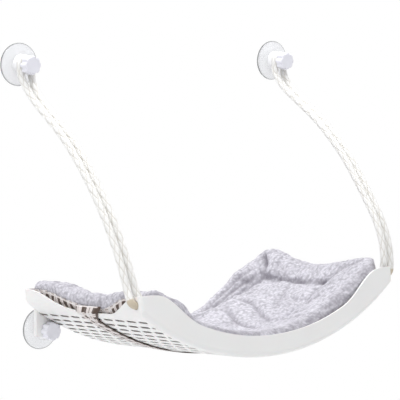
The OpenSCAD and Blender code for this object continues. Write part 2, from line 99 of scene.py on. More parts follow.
class Nodes:
    """Makes and links the nodes of one tree."""

    def __init__(self, tree: bpy.types.NodeTree) -> None:
        """Keeps the tree that the nodes go into."""
        self.tree = tree

    def add(self, kind: str, **settings: str | bpy.types.NodeTree) -> bpy.types.Node:
        """Adds a node.

        Args:
            kind: the node's type name.
            settings: the node's own properties.

        Returns:
            The new node.
        """
        node = self.tree.nodes.new(kind)
        for name, value in settings.items():
            setattr(node, name, value)
        return node

    def feed(self, socket: Socket, value: Value) -> None:
        """Links value to an input if it is an output, or else sets it as the input's value.

        Args:
            socket: the input.
            value: an output, a constant, or None to leave the input as it is.
        """
        if isinstance(value, Socket):
            self.tree.links.new(value, socket)
        elif value is not None:
            socket.default_value = value

    def fill(self, node: bpy.types.Node, values: dict[str | int, Value]) -> None:
        """Feeds several inputs of a node.

        Args:
            node: the node.
            values: an input's name or number to its value.
        """
        for name, value in values.items():
            self.feed(node.inputs[name], value)

    def math(self, operation: str, a: Value, b: Value = None) -> Socket:
        """Adds a Math node.

        Args:
            operation: the operation's name.
            a: the first value.
            b: the second value, where the operation takes one.

        Returns:
            The result.
        """
        node = self.add("ShaderNodeMath", operation=operation)
        self.fill(node, {0: a, 1: b})
        return node.outputs[0]

    def noise(self, vector: Socket, scale: float, detail: float = 3.0,
              rough: float = 0.55) -> Socket:
        """Adds a noise texture.

        Args:
            vector: the places that it is read at.
            scale: its features to the metre.
            detail: its octaves.
            rough: how much the fine octaves count.

        Returns:
            The noise's value.
        """
        node = self.add("ShaderNodeTexNoise")
        self.fill(node, {"Vector": vector, "Scale": scale, "Detail": detail, "Roughness": rough})
        return node.outputs["Fac"]

    def remap(self, value: Socket, low: float, high: float, to_low: float = 0.0,
              to_high: float = 1.0) -> Socket:
        """Maps one range to another and clamps to it.

        Args:
            value: what is mapped.
            low: start of the range that it comes from.
            high: end of the range that it comes from.
            to_low: what low becomes.
            to_high: what high becomes.

        Returns:
            The mapped value.
        """
        node = self.add("ShaderNodeMapRange")
        self.fill(node, {"Value": value, "From Min": low, "From Max": high, "To Min": to_low,
                         "To Max": to_high})
        return node.outputs["Result"]

    def mix(self, factor: Value, a: Socket | Colour, b: Socket | Colour,
            blend: str = "MIX") -> Socket:
        """Mixes two colours.

        Args:
            factor: the share of b.
            a: the colour at 0.
            b: the colour at 1.
            blend: the way of mixing.

        Returns:
            The colour.
        """
        node = self.add("ShaderNodeMix", data_type="RGBA", blend_type=blend)
        self.feed(node.inputs[0], factor)
        for number, colour in ((6, a), (7, b)):
            self.feed(node.inputs[number], (*colour, 1.0) if isinstance(colour, tuple) else colour)
        return node.outputs[2]

    def bump(self, height: Socket, strength: float, distance: float) -> Socket:
        """Adds a Bump node.

        Args:
            height: the relief.
            strength: how much of it shows.
            distance: its depth in metres.

        Returns:
            The normal.
        """
        node = self.add("ShaderNodeBump")
        self.fill(node, {"Height": height, "Strength": strength, "Distance": distance})
        return node.outputs["Normal"]

    def axes(self, vector: Socket) -> bpy.types.NodeOutputs:
        """Takes a vector apart.

        Args:
            vector: the vector.

        Returns:
            The outputs X, Y and Z.
        """
        node = self.add("ShaderNodeSeparateXYZ")
        self.feed(node.inputs[0], vector)
        return node.outputs

    def place(self) -> Socket:
        """The point's place on the object."""
        return self.add("ShaderNodeTexCoord").outputs["Object"]

    def attribute(self, name: str, output: str = "Fac") -> Socket:
        """What the mesh keeps under name at the point."""
        return self.add("ShaderNodeAttribute", attribute_name=name).outputs[output]

    def group(self, tree: bpy.types.NodeTree) -> bpy.types.Node:
        """A node that uses the group tree."""
        return self.add("ShaderNodeGroup", node_tree=tree)


def node_group(name: str, inputs: dict[str, str], outputs: dict[str, str],
               ) -> tuple[bpy.types.NodeTree, Nodes, bpy.types.Node, bpy.types.Node]:
    """Makes an empty shader node group.

    Args:
        name: the group's name.
        inputs: socket name to socket type.
        outputs: socket name to socket type.

    Returns:
        The group, its Nodes, its input node and its output node.
    """
    tree = bpy.data.node_groups.new(name, "ShaderNodeTree")
    for direction, sockets in (("INPUT", inputs), ("OUTPUT", outputs)):
        for label, kind in sockets.items():
            tree.interface.new_socket(label, in_out=direction, socket_type=kind)
    nodes = Nodes(tree)
    return tree, nodes, nodes.add("NodeGroupInput"), nodes.add("NodeGroupOutput")


def moulded_group() -> bpy.types.NodeTree:
    """Makes the fine grain and slow waviness of a moulded plastic wall.

    Returns:
        A group that gives a tone, a roughness and a normal.
    """
    tree, n, inp, out = node_group("moulded_surface", {"Vector": VECTOR, "Roughness": FLOAT},
                                   {"Tone": FLOAT, "Roughness": FLOAT, "Normal": VECTOR})
    vector = inp.outputs["Vector"]
    grain = n.noise(vector, scale=900.0, detail=4.0, rough=0.7)
    wave = n.noise(vector, scale=14.0, detail=2.0)
    wear = n.noise(vector, scale=120.0, detail=5.0, rough=0.7)
    patches = n.noise(vector, scale=9.0)
    dull = n.remap(wear, 0.35, 0.75, to_low=-0.05, to_high=0.09)
    height = n.math("ADD", n.math("MULTIPLY", grain, 0.12), wave)
    n.fill(out, {"Tone": n.remap(patches, 0.3, 0.7),
                 "Roughness": n.math("ADD", inp.outputs["Roughness"], dull),
                 "Normal": n.bump(height, strength=0.35, distance=0.6 * MM)})
    return tree


def braid_group(carriers: int, yarns: int = 7) -> bpy.types.NodeTree:
    """Makes the yarns of a round braid from its own map: U once round, V one repeat along.

    Args:
        carriers: strands that run each way round.
        yarns: yarns side by side in a strand.

    Returns:
        A group that gives the yarns, the grooves between strands and a normal.
    """
    tree, n, inp, out = node_group("braid_yarns", {"Map": VECTOR},
                                   {"Yarn": FLOAT, "Groove": FLOAT, "Normal": VECTOR})
    part = n.axes(inp.outputs["Map"])
    turned = n.math("MULTIPLY", part["X"], float(carriers))
    a = n.math("SUBTRACT", turned, part["Y"])
    b = n.math("ADD", turned, part["Y"])
    over = n.math("PINGPONG", n.math("ADD", n.math("FLOOR", a), n.math("FLOOR", b)), 1.0)
    u, v = n.math("FRACT", a), n.math("FRACT", b)
    across = n.math("ADD", n.math("MULTIPLY", u, n.math("SUBTRACT", 1.0, over)),
                    n.math("MULTIPLY", v, over))
    yarn = n.math("ABSOLUTE", n.math("SINE", n.math("MULTIPLY", across, yarns * math.pi)))
    edges = [n.math("ABSOLUTE", n.math("SUBTRACT", side, 0.5)) for side in (u, v)]
    groove = n.remap(n.math("MAXIMUM", *edges), 0.36, 0.5)
    height = n.math("SUBTRACT", yarn, n.math("MULTIPLY", groove, 1.4))
    n.fill(out, {"Yarn": yarn, "Groove": groove,
                 "Normal": n.bump(height, strength=0.5, distance=0.3 * MM)})
    return tree


def slot_group(frame: TrayFrame, half_band: float = 1.0) -> bpy.types.NodeTree:
    """Finds the points within the thickness of the tray's floor, which are the slots' walls.

    Args:
        frame: the tray's frame.
        half_band: how far from the middle of the floor's thickness, in mm, still counts.

    Returns:
        A group that gives 1 on the slots' walls and 0 elsewhere.
    """
    tree, n, inp, out = node_group("slot_depth", {"Vector": VECTOR}, {"Depth": FLOAT})
    moved = n.add("ShaderNodeVectorMath", operation="ADD")
    n.fill(moved, {0: inp.outputs["Vector"], 1: (0.0, frame.out * MM, frame.drop * MM)})
    level = n.add("ShaderNodeVectorRotate", rotation_type="X_AXIS")
    n.fill(level, {"Vector": moved.outputs[0], "Angle": math.radians(frame.tilt)})
    part = n.axes(level.outputs[0])
    below = n.math("SUBTRACT", frame.floor_radius * MM, part["Z"])
    far = n.math("SQRT", n.math("ADD", n.math("MULTIPLY", part["X"], part["X"]),
                                n.math("MULTIPLY", below, below)))
    middle = (frame.floor_radius - frame.wall / 2) * MM
    depth = n.math("LESS_THAN", n.math("ABSOLUTE", n.math("SUBTRACT", far, middle)),
                   half_band * MM)
    for axis, reach in (("X", frame.slotted_x), ("Y", frame.slotted_v)):
        near = n.math("LESS_THAN", n.math("ABSOLUTE", part[axis]), reach * MM)
        depth = n.math("MULTIPLY", depth, near)
    n.feed(out.inputs["Depth"], depth)
    return tree


def pile_group() -> bpy.types.NodeTree:
    """Makes short curly pile.

    Returns:
        A group that gives the tufts, their tint and a normal.
    """
    tree, n, inp, out = node_group("plush_pile", {"Vector": VECTOR},
                                   {"Tuft": FLOAT, "Tone": FLOAT, "Normal": VECTOR})
    vector = inp.outputs["Vector"]
    curl = 8 * MM
    warp = n.add("ShaderNodeTexNoise")
    n.fill(warp, {"Vector": vector, "Scale": 90.0})
    shift = n.add("ShaderNodeVectorMath", operation="MULTIPLY_ADD")
    n.fill(shift, {0: warp.outputs["Color"], 1: (curl, curl, curl), 2: vector})
    cells = n.add("ShaderNodeTexVoronoi", feature="SMOOTH_F1")
    n.fill(cells, {"Vector": shift.outputs[0], "Scale": 200.0})
    fine = n.noise(shift.outputs[0], scale=1100.0, rough=0.7)
    patches = n.noise(vector, scale=22.0, rough=0.6)
    tuft = n.math("SUBTRACT", 1.0, cells.outputs["Distance"])
    height = n.math("ADD", n.math("MULTIPLY", tuft, 0.75), n.math("MULTIPLY", fine, 0.45))
    n.fill(out, {"Tuft": n.remap(height, 0.45, 0.95), "Tone": n.remap(patches, 0.3, 0.7),
                 "Normal": n.bump(height, strength=0.9, distance=2.0 * MM)})
    return tree


def plaid_group(square: float = 16.5, thread: float = 1.1) -> bpy.types.NodeTree:
    """Makes a woven check of crossing stripes from its own map in metres.

    Args:
        square: the check's repeat in mm.
        thread: the weave's repeat in mm.

    Returns:
        A group that gives the dark squares, the stripes, the weave and a normal.
    """
    stripe_half, line_place, line_half, line_tone = 0.255, 0.04, 0.03, 0.6
    tree, n, inp, out = node_group(
        "plaid_check", {"Map": VECTOR},
        {"Dark": FLOAT, "Mid": FLOAT, "Weave": FLOAT, "Normal": VECTOR})
    part = n.axes(inp.outputs["Map"])
    bands, threads = [], []
    for axis in ("X", "Y"):
        turn = n.math("FRACT", n.math("DIVIDE", part[axis], square * MM))
        off_stripe = n.math("ABSOLUTE", n.math("SUBTRACT", turn, 0.5))
        off_line = n.math("ABSOLUTE", n.math("SUBTRACT", turn, line_place))
        stripe = n.math("LESS_THAN", off_stripe, stripe_half)
        line = n.math("MULTIPLY", n.math("LESS_THAN", off_line, line_half), line_tone)
        bands.append(n.math("MAXIMUM", stripe, line))
        angle = n.math("MULTIPLY", part[axis], 2 * math.pi / (thread * MM))
        threads.append(n.math("SINE", angle))
    weave = n.math("MULTIPLY", *threads)
    n.fill(out, {"Dark": n.math("MULTIPLY", *bands), "Mid": n.math("MAXIMUM", *bands),
                 "Weave": n.remap(weave, -1.0, 1.0),
                 "Normal": n.bump(weave, strength=0.5, distance=0.25 * MM)})
    return tree


# Finishes


def new_material(name: str) -> tuple[bpy.types.Material, Nodes, bpy.types.Node]:
    """Makes a material with nothing but a Principled BSDF.

    Args:
        name: the material's name.

    Returns:
        The material, its Nodes and its shader.
    """
    material = bpy.data.materials.new(name)
    material.use_nodes = True
    tree = material.node_tree
    return material, Nodes(tree), tree.nodes["Principled BSDF"]


@dataclass(frozen=True)
class PlasticFinish:
    """A moulded plastic: its light and shaded tones, gloss and, for vinyl, how clear it is.

    A rim colour paints shade on a cup's edge, in place of the dark refraction there, between two
    shares of its radius.
    """

    name: str
    light: Colour
    shade: Colour
    roughness: float = 0.35
    coat: float = 0.0
    clear: float = 0.0
    glow: float = 0.0
    glow_depth: float = 4.0
    # Painted shade for a cup's dark edge.
    rim: Colour | None = None
    rim_shade_shares: tuple[float, float] = (0.955, 0.985)
    slot_shade: Colour = (0.30, 0.28, 0.27)

    def build(self, moulded: bpy.types.NodeTree,
              slots: bpy.types.NodeTree | None = None) -> bpy.types.Material:
        """Makes the material.

        Args:
            moulded: the group that gives the surface's grain.
            slots: the group that finds the walls of the floor's slots, which are in shade.

        Returns:
            The material.
        """
        material, n, shader = new_material(self.name)
        surface = n.group(moulded)
        n.fill(surface, {"Vector": n.place(), "Roughness": self.roughness})
        colour = n.mix(surface.outputs["Tone"], self.shade, self.light)
        if self.rim:
            # Painted shade on the cup's edge, in place of its dark refraction.
            edge = n.remap(n.attribute("reach"), *self.rim_shade_shares)
            colour = n.mix(edge, colour, self.rim)
        if slots:
            inside = n.group(slots)
            n.feed(inside.inputs["Vector"], n.place())
            colour = n.mix(inside.outputs["Depth"], colour, self.slot_shade)
        n.fill(shader, {
            "Base Color": colour, "Roughness": surface.outputs["Roughness"],
            "Normal": surface.outputs["Normal"], "Coat Weight": self.coat,
            "Transmission Weight": self.clear, "Subsurface Weight": self.glow,
            "Subsurface Scale": self.glow_depth * MM})
        return material


@dataclass(frozen=True)
class RopeFinish:
    """Soft white braided cord, with painted shade between its yarns and in the grooves between
    strands, and darker brown where it passes through the tray's hole.
    """

    light: Colour = (0.90, 0.893, 0.87)
    # The groove colour is painted shade in the grooves between strands.
    groove: Colour = (0.66, 0.625, 0.56)
    # Darker brown colour along the span where the sling passes through the tray's hole.
    at_hole: Colour = (0.60, 0.52, 0.40)
    # Share of the light colour painted as shade on the sides of each yarn.
    yarn_side_shade: float = 0.88

    def build(self, braid: bpy.types.NodeTree) -> bpy.types.Material:
        """Makes the material.

        Args:
            braid: the group that gives the yarns.

        Returns:
            The material.
        """
        material, n, shader = new_material("braided_cord")
        surface = n.group(braid)
        n.feed(surface.inputs["Map"], n.add("ShaderNodeUVMap", uv_map="braid").outputs["UV"])
        yarn = n.remap(surface.outputs["Yarn"], 0.0, 0.6, to_low=0.82, to_high=1.0)
        # Painted shade in the grooves between strands, in patches along the cord.
        groove_shade_patches = n.remap(n.noise(n.place(), scale=45.0), 0.35, 0.65, to_low=0.55, to_high=1.0)
        groove_shade = n.math("MULTIPLY", surface.outputs["Groove"], groove_shade_patches)
        # side is the painted shade colour of the yarns' sides.
        side = tuple(self.yarn_side_shade * c for c in self.light)
        toned = n.mix(yarn, side, n.mix(groove_shade, self.light, self.groove))
        n.fill(shader, {
            "Base Color": n.mix(n.attribute("at_hole"), toned, self.at_hole),
            "Normal": surface.outputs["Normal"], "Roughness": 0.75, "Sheen Weight": 0.25,
            "Sheen Roughness": 0.5})
        return material


@dataclass(frozen=True)
class PlushFinish:
    """Lilac grey short pile plush, with painted shade in its folds, along its sewn channel and low on
    its front border.
    """

    tip: Colour = (0.875, 0.86, 0.92)
    root: Colour = (0.335, 0.32, 0.36)
    # The fold colour is painted shade.
    fold: Colour = (0.20, 0.185, 0.215)
    tuft_share: float = 0.75

    def build(self, pile: bpy.types.NodeTree) -> bpy.types.Material:
        """Makes the material.

        Args:
            pile: the group that gives the tufts.

        Returns:
            The material.
        """
        material, n, shader = new_material("plush")
        surface = n.group(pile)
        n.feed(surface.inputs["Vector"], n.place())
        tone = n.math("ADD", n.math("MULTIPLY", surface.outputs["Tuft"], self.tuft_share),
                      n.math("MULTIPLY", surface.outputs["Tone"], 1 - self.tuft_share))
        pile_tone = n.mix(tone, self.root, self.tip)
        # The mesh's fold attribute gives where the painted shade goes.
        n.fill(shader, {
            "Base Color": n.mix(n.attribute("fold"), pile_tone, self.fold),
            "Normal": surface.outputs["Normal"], "Roughness": 0.9, "Sheen Weight": 0.45,
            "Sheen Roughness": 0.45, "Sheen Tint": (0.95, 0.93, 1.0, 1.0)})
        return material


@dataclass(frozen=True)
class PlaidFinish:
    """Brown and white woven check, dark along the strap's binding, and darkened by painted shade where
    the underside lies on the tray.
    """

    pale: Colour = (0.96, 0.93, 0.92)
    mid: Colour = (0.89, 0.81, 0.78)
    dark: Colour = (0.09, 0.055, 0.04)
    weave_low: Colour = (0.78, 0.78, 0.78)
    weave_high: Colour = (1.0, 1.0, 1.0)

    def build(self, plaid: bpy.types.NodeTree) -> bpy.types.Material:
        """Makes the material.

        Args:
            plaid: the group that gives the check and the weave.

        Returns:
            The material.
        """
        material, n, shader = new_material("plaid_cloth")
        surface = n.group(plaid)
        n.feed(surface.inputs["Map"], n.attribute("cloth_place", "Vector"))
        check = n.mix(surface.outputs["Mid"], self.pale, self.mid)
        check = n.mix(surface.outputs["Dark"], check, self.dark)
        # Dark along the strap's binding, and painted shade where the cushion's underside lies on the
        # tray.
        check = n.mix(n.attribute("binding_and_shade"), check, self.dark)
        weave = n.mix(surface.outputs["Weave"], self.weave_low, self.weave_high)
        n.fill(shader, {
            "Base Color": n.mix(1.0, check, weave, blend="MULTIPLY"),
            "Normal": surface.outputs["Normal"], "Roughness": 0.85, "Sheen Weight": 0.2})
        return material


# Geometry helpers


@dataclass(frozen=True)
class TrayFrame:
    """The tray's own frame: x along it, v towards the window, w up from its floor's middle."""

    out: float = 182.5
    drop: float = 35.5
    tilt: float = 5.75
    floor_radius: float = 440.0
    wall: float = 3.5
    slotted_x: float = 256.0
    slotted_v: float = 151.0

    def turn(self) -> tuple[float, float]:
        """Cosine and sine of the tilt."""
        return math.cos(math.radians(self.tilt)), math.sin(math.radians(self.tilt))

    def world(self, points: np.ndarray) -> np.ndarray:
        """Takes points to the row frame.

        Args:
            points: rows of x, v, w in mm.

        Returns:
            Rows of X, Y, Z in metres.
        """
        c, s = self.turn()
        x, v, w = points.T
        return np.stack([x, -self.out + v * c + w * s, -self.drop - v * s + w * c], 1) * MM

    def local(self, points: np.ndarray) -> np.ndarray:
        """Takes points from the row frame.

        Args:
            points: rows of X, Y, Z in metres.

        Returns:
            Rows of x, v, w in mm.
        """
        c, s = self.turn()
        x, y, z = (points / MM).T
        y, z = y + self.out, z + self.drop
        return np.stack([x, y * c - z * s, y * s + z * c], 1)

    def floor(self, x: np.ndarray) -> np.ndarray:
        """Height of the floor's upper face at x."""
        r = self.floor_radius - self.wall
        return self.floor_radius - np.sqrt(np.maximum(r * r - x * x, 1.0))


def smooth(s: np.ndarray) -> np.ndarray:
    """An even step from 0 to 1."""
    s = np.clip(s, 0.0, 1.0)
    return s * s * (3 - 2 * s)


def dome(s: np.ndarray) -> np.ndarray:
    """A quarter circle's rise from 0 to 1, upright at its start."""
    return np.sqrt(np.maximum(0, 1 - (1 - s) ** 2))


def lattice_noise(points: np.ndarray, size: float, seed: int) -> np.ndarray:
    """Smooth noise, the same each run.

    Args:
        points: rows of x, v, w in mm.
        size: the width of its features in mm.
        seed: picks one noise of many.

    Returns:
        A value from -1 to 1 for each point.
    """
    steps, seed_step, stir, low_bits = (374761393, 668265263, 2147483647), 974711, 1274126177, 0xFFFF
    q = points / size
    cell = np.floor(q).astype(np.int64)
    f = smooth(q - cell)
    total = np.zeros(len(points))
    for corner in range(8):
        d = np.array([corner & 1, corner >> 1 & 1, corner >> 2 & 1])
        h = (cell + d) @ np.array(steps, np.int64) + seed * seed_step
        h = (h ^ (h >> 13)) * stir
        value = ((h ^ (h >> 16)) & low_bits) / (low_bits / 2) - 1
        total += value * np.prod(np.where(d == 1, f, 1 - f), axis=1)
    return total


def linked(name: str, data: bpy.types.ID) -> bpy.types.Object:
    """Makes an object and links it to the scene.

    Args:
        name: the object's name.
        data: its mesh, camera or lamp.

    Returns:
        The object.
    """
    obj = bpy.data.objects.new(name, data)
    bpy.context.scene.collection.objects.link(obj)
    return obj


@contextmanager
def editing(mesh: bpy.types.Mesh) -> Iterator[bmesh.types.BMesh]:
    """Opens a mesh as a bmesh, and writes it back at the end.

    Args:
        mesh: the mesh.

    Yields:
        The bmesh.
    """
    work = bmesh.new()
    work.from_mesh(mesh)
    yield work
    work.to_mesh(mesh)
    work.free()


def quads(number: np.ndarray) -> np.ndarray:
    """Faces of a grid of vertices.

    Args:
        number: the vertices' numbers in rows and columns.

    Returns:
        Rows of four numbers.
    """
    faces = np.stack([number[:-1, :-1], number[1:, :-1], number[1:, 1:], number[:-1, 1:]], -1)
    return faces.reshape(-1, 4)


def mesh_object(name: str, points: np.ndarray, faces: np.ndarray) -> bpy.types.Object:
    """Makes a mesh object at the origin, with its faces outward and shaded smooth.

    Args:
        name: the object's name.
        points: its vertices in the row frame, in metres.
        faces: its faces as rows of vertex numbers.

    Returns:
        The linked object.
    """
    mesh = bpy.data.meshes.new(name)
    mesh.from_pydata(points.tolist(), [], faces.tolist())
    mesh.validate()
    with editing(mesh) as work:
        bmesh.ops.recalc_face_normals(work, faces=work.faces)
    mesh.shade_smooth()
    return linked(name, mesh)


def places(mesh: bpy.types.Mesh) -> np.ndarray:
    """The mesh's vertices as rows of X, Y, Z."""
    out = np.empty(3 * len(mesh.vertices))
    mesh.vertices.foreach_get("co", out)
    return out.reshape(-1, 3)


def normals(mesh: bpy.types.Mesh) -> np.ndarray:
    """The mesh's vertex normals as rows of X, Y, Z."""
    out = np.empty(3 * len(mesh.vertices))
    mesh.vertex_normals.foreach_get("vector", out)
    return out.reshape(-1, 3)


def put(mesh: bpy.types.Mesh, points: np.ndarray) -> None:
    """Moves the mesh's vertices to points."""
    mesh.vertices.foreach_set("co", points.astype(np.float32).ravel())
    mesh.update()


def store(mesh: bpy.types.Mesh, name: str, values: np.ndarray) -> None:
    """Keeps a number or a vector for each vertex.

    Args:
        mesh: the mesh.
        name: the attribute's name.
        values: one number or one row for each vertex.
    """
    kind, key = ("FLOAT", "value") if values.ndim == 1 else ("FLOAT_VECTOR", "vector")
    attribute = mesh.attributes.new(name, kind, "POINT")
    attribute.data.foreach_set(key, values.astype(np.float32).ravel())


def bake(obj: bpy.types.Object) -> None:
    """Applies the object's modifiers."""
    graph = bpy.context.evaluated_depsgraph_get()
    mesh = bpy.data.meshes.new_from_object(obj.evaluated_get(graph))
    obj.modifiers.clear()
    old = obj.data
    obj.data = mesh
    bpy.data.meshes.remove(old)


def thicken(obj: bpy.types.Object, thickness: float, offset: float) -> None:
    """Gives a sheet its thickness.

    Args:
        obj: the sheet.
        thickness: how thick it gets, in mm.
        offset: -1 to grow behind its faces, 0 to grow both ways.
    """
    modifier = obj.modifiers.new("thick", "SOLIDIFY")
    modifier.thickness = thickness * MM
    modifier.offset = offset
    bake(obj)


def finish_piece(obj: bpy.types.Object, material: bpy.types.Material, slot: str, body: str,
                 *nodes: str) -> bpy.types.Object:
    """Gives a new piece its material, puts it on its body and hides the CAD nodes that it stands for.

    Args:
        obj: the piece.
        material: its finish.
        slot: not used.
        body: the body that it rides on.
        nodes: the CAD nodes that it stands for.

    Returns:
        The piece.
    """
    obj.data.materials.clear()
    obj.data.materials.append(material)
    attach(obj, body)
    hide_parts(*nodes)
    log.info("%s: %d vertices, on %s", obj.name, len(obj.data.vertices), body)
    return obj


# Camera and studio


def seen(n: Nodes) -> Socket:
    """Finds the rays that come from the camera, also by way of a gloss or through clear vinyl.

    Args:
        n: the nodes of the tree that asks.

    Returns:
        1 for such a ray, or else 0.
    """
    path = n.add("ShaderNodeLightPath").outputs
    sharp = n.math("MAXIMUM", path["Is Glossy Ray"], path["Is Transmission Ray"])
    return n.math("MAXIMUM", path["Is Camera Ray"], sharp)


@dataclass(frozen=True)
class Lamp:
    """A soft square lamp: its place and aim, its width in metres and its power in watts."""

    name: str
    place: Place
    aim: Place
    width: float
    power: float

    def build(self) -> None:
        """Makes the lamp."""
        data = bpy.data.lights.new(self.name, "AREA")
        data.size = self.width
        data.energy = self.power
        lamp = linked(self.name, data)
        lamp.location = self.place
        lamp.rotation_mode = "QUATERNION"
        lamp.rotation_quaternion = (Vector(self.aim) - Vector(self.place)).to_track_quat("-Z", "Y")


@dataclass(frozen=True)
class Studio:
    """The photograph's camera, a pale floor and soft light, in metres and degrees."""

    place: Place = (-1.883574, -2.447082, 0.564444)
    yaw: float = 39.2134
    pitch: float = -6.5921
    roll: float = 0.719
    lens: float = 156.257
    sensor: float = 36.0
    clip: tuple[float, float] = (0.05, 50.0)
    floor: float = -0.42
    floor_half: float = 12.0
    floor_colour: Colour = (0.86, 0.86, 0.87)
    sky_colour: Colour = (0.97, 0.98, 1.0)
    sky_strength: float = 0.62
    lamps: tuple[Lamp, ...] = (
        Lamp("key", (-0.9, -1.5, 2.5), (0.0, -0.15, 0.1), 1.4, 22.0),
        Lamp("side", (-2.3, 0.5, 1.6), (0.0, -0.15, 0.1), 1.4, 16.0),
        Lamp("top", (0.3, 0.2, 2.3), (0.0, -0.15, 0.0), 1.6, 34.0))

    def camera(self) -> None:
        """Makes the camera at the photograph's place and angle."""
        data = bpy.data.cameras.new("camera")
        data.sensor_width = self.sensor
        data.lens = self.lens
        data.clip_start, data.clip_end = self.clip
        camera = linked("camera", data)
        yaw, pitch, roll = (math.radians(a) for a in (self.yaw, self.pitch, self.roll))
        ahead = Vector((math.sin(yaw) * math.cos(pitch), math.cos(yaw) * math.cos(pitch),
                        math.sin(pitch)))
        right = Vector((math.cos(yaw), -math.sin(yaw), 0.0))
        up = right.cross(ahead)
        turned = math.cos(roll) * right + math.sin(roll) * up
        upward = math.cos(roll) * up - math.sin(roll) * right
        camera.matrix_world = (Matrix.Translation(self.place)
                               @ Matrix((turned, upward, -ahead)).transposed().to_4x4())
        bpy.context.scene.camera = camera

    def ground(self) -> None:
        """Makes the floor, pale for the light and plain white for the camera."""
        mesh = bpy.data.meshes.new("floor")
        with editing(mesh) as work:
            bmesh.ops.create_grid(work, x_segments=2, y_segments=2, size=self.floor_half,
                                  matrix=Matrix.Translation((0, 0, self.floor)))
        material, n, shader = new_material("floor")
        n.fill(shader, {"Base Color": (*self.floor_colour, 1.0), "Roughness": 0.9})
        white = n.add("ShaderNodeEmission")
        blend = n.add("ShaderNodeMixShader")
        n.fill(blend, {0: seen(n), 1: shader.outputs[0], 2: white.outputs[0]})
        n.feed(n.tree.nodes["Material Output"].inputs["Surface"], blend.outputs[0])
        mesh.materials.append(material)
        linked("floor", mesh)

    def sky(self) -> None:
        """Makes a pale world that the camera sees as white."""
        world = bpy.data.worlds.new("studio")
        world.use_nodes = True
        bpy.context.scene.world = world
        n = Nodes(world.node_tree)
        light = n.tree.nodes["Background"]
        n.fill(light, {"Color": (*self.sky_colour, 1.0), "Strength": self.sky_strength})
        white = n.add("ShaderNodeBackground")
        n.feed(white.inputs["Color"], (1.0, 1.0, 1.0, 1.0))
        blend = n.add("ShaderNodeMixShader")
        n.fill(blend, {0: seen(n), 1: light.outputs[0], 2: white.outputs[0]})
        n.feed(n.tree.nodes["World Output"].inputs["Surface"], blend.outputs[0])

    def build(self) -> None:
        """Makes the camera, the floor and the lights."""
        self.camera()
        self.ground()
        self.sky()
        for lamp in self.lamps:
            lamp.build()
        log.info("studio: camera, floor, sky and %d lamps", len(self.lamps))


# Ropes


# Middle of the two strands of each sling on its way down, as distance from the pane and height
# above the lower cups, the same as in the CAD
LEFT_ROUTE = [(22.3, 438.5), (26, 427), (36, 412), (60, 391), (100, 365), (140, 337), (180, 301),
              (218, 260), (250, 219), (277, 177), (296, 141), (308, 114)]
RIGHT_ROUTE = [(22.3, 438.5), (29, 423), (52, 401), (92, 377), (134, 352), (174, 322), (212, 288),
               (244, 252), (272, 218), (298, 183), (315, 148), (322, 117)]
# Half the distance between the strands at those points
STRAND_GAPS = [10.5, 9, 7.6, 6.9, 6.9, 6.9, 6.9, 6.9, 6.9, 6.9, 7.2, 7.8]


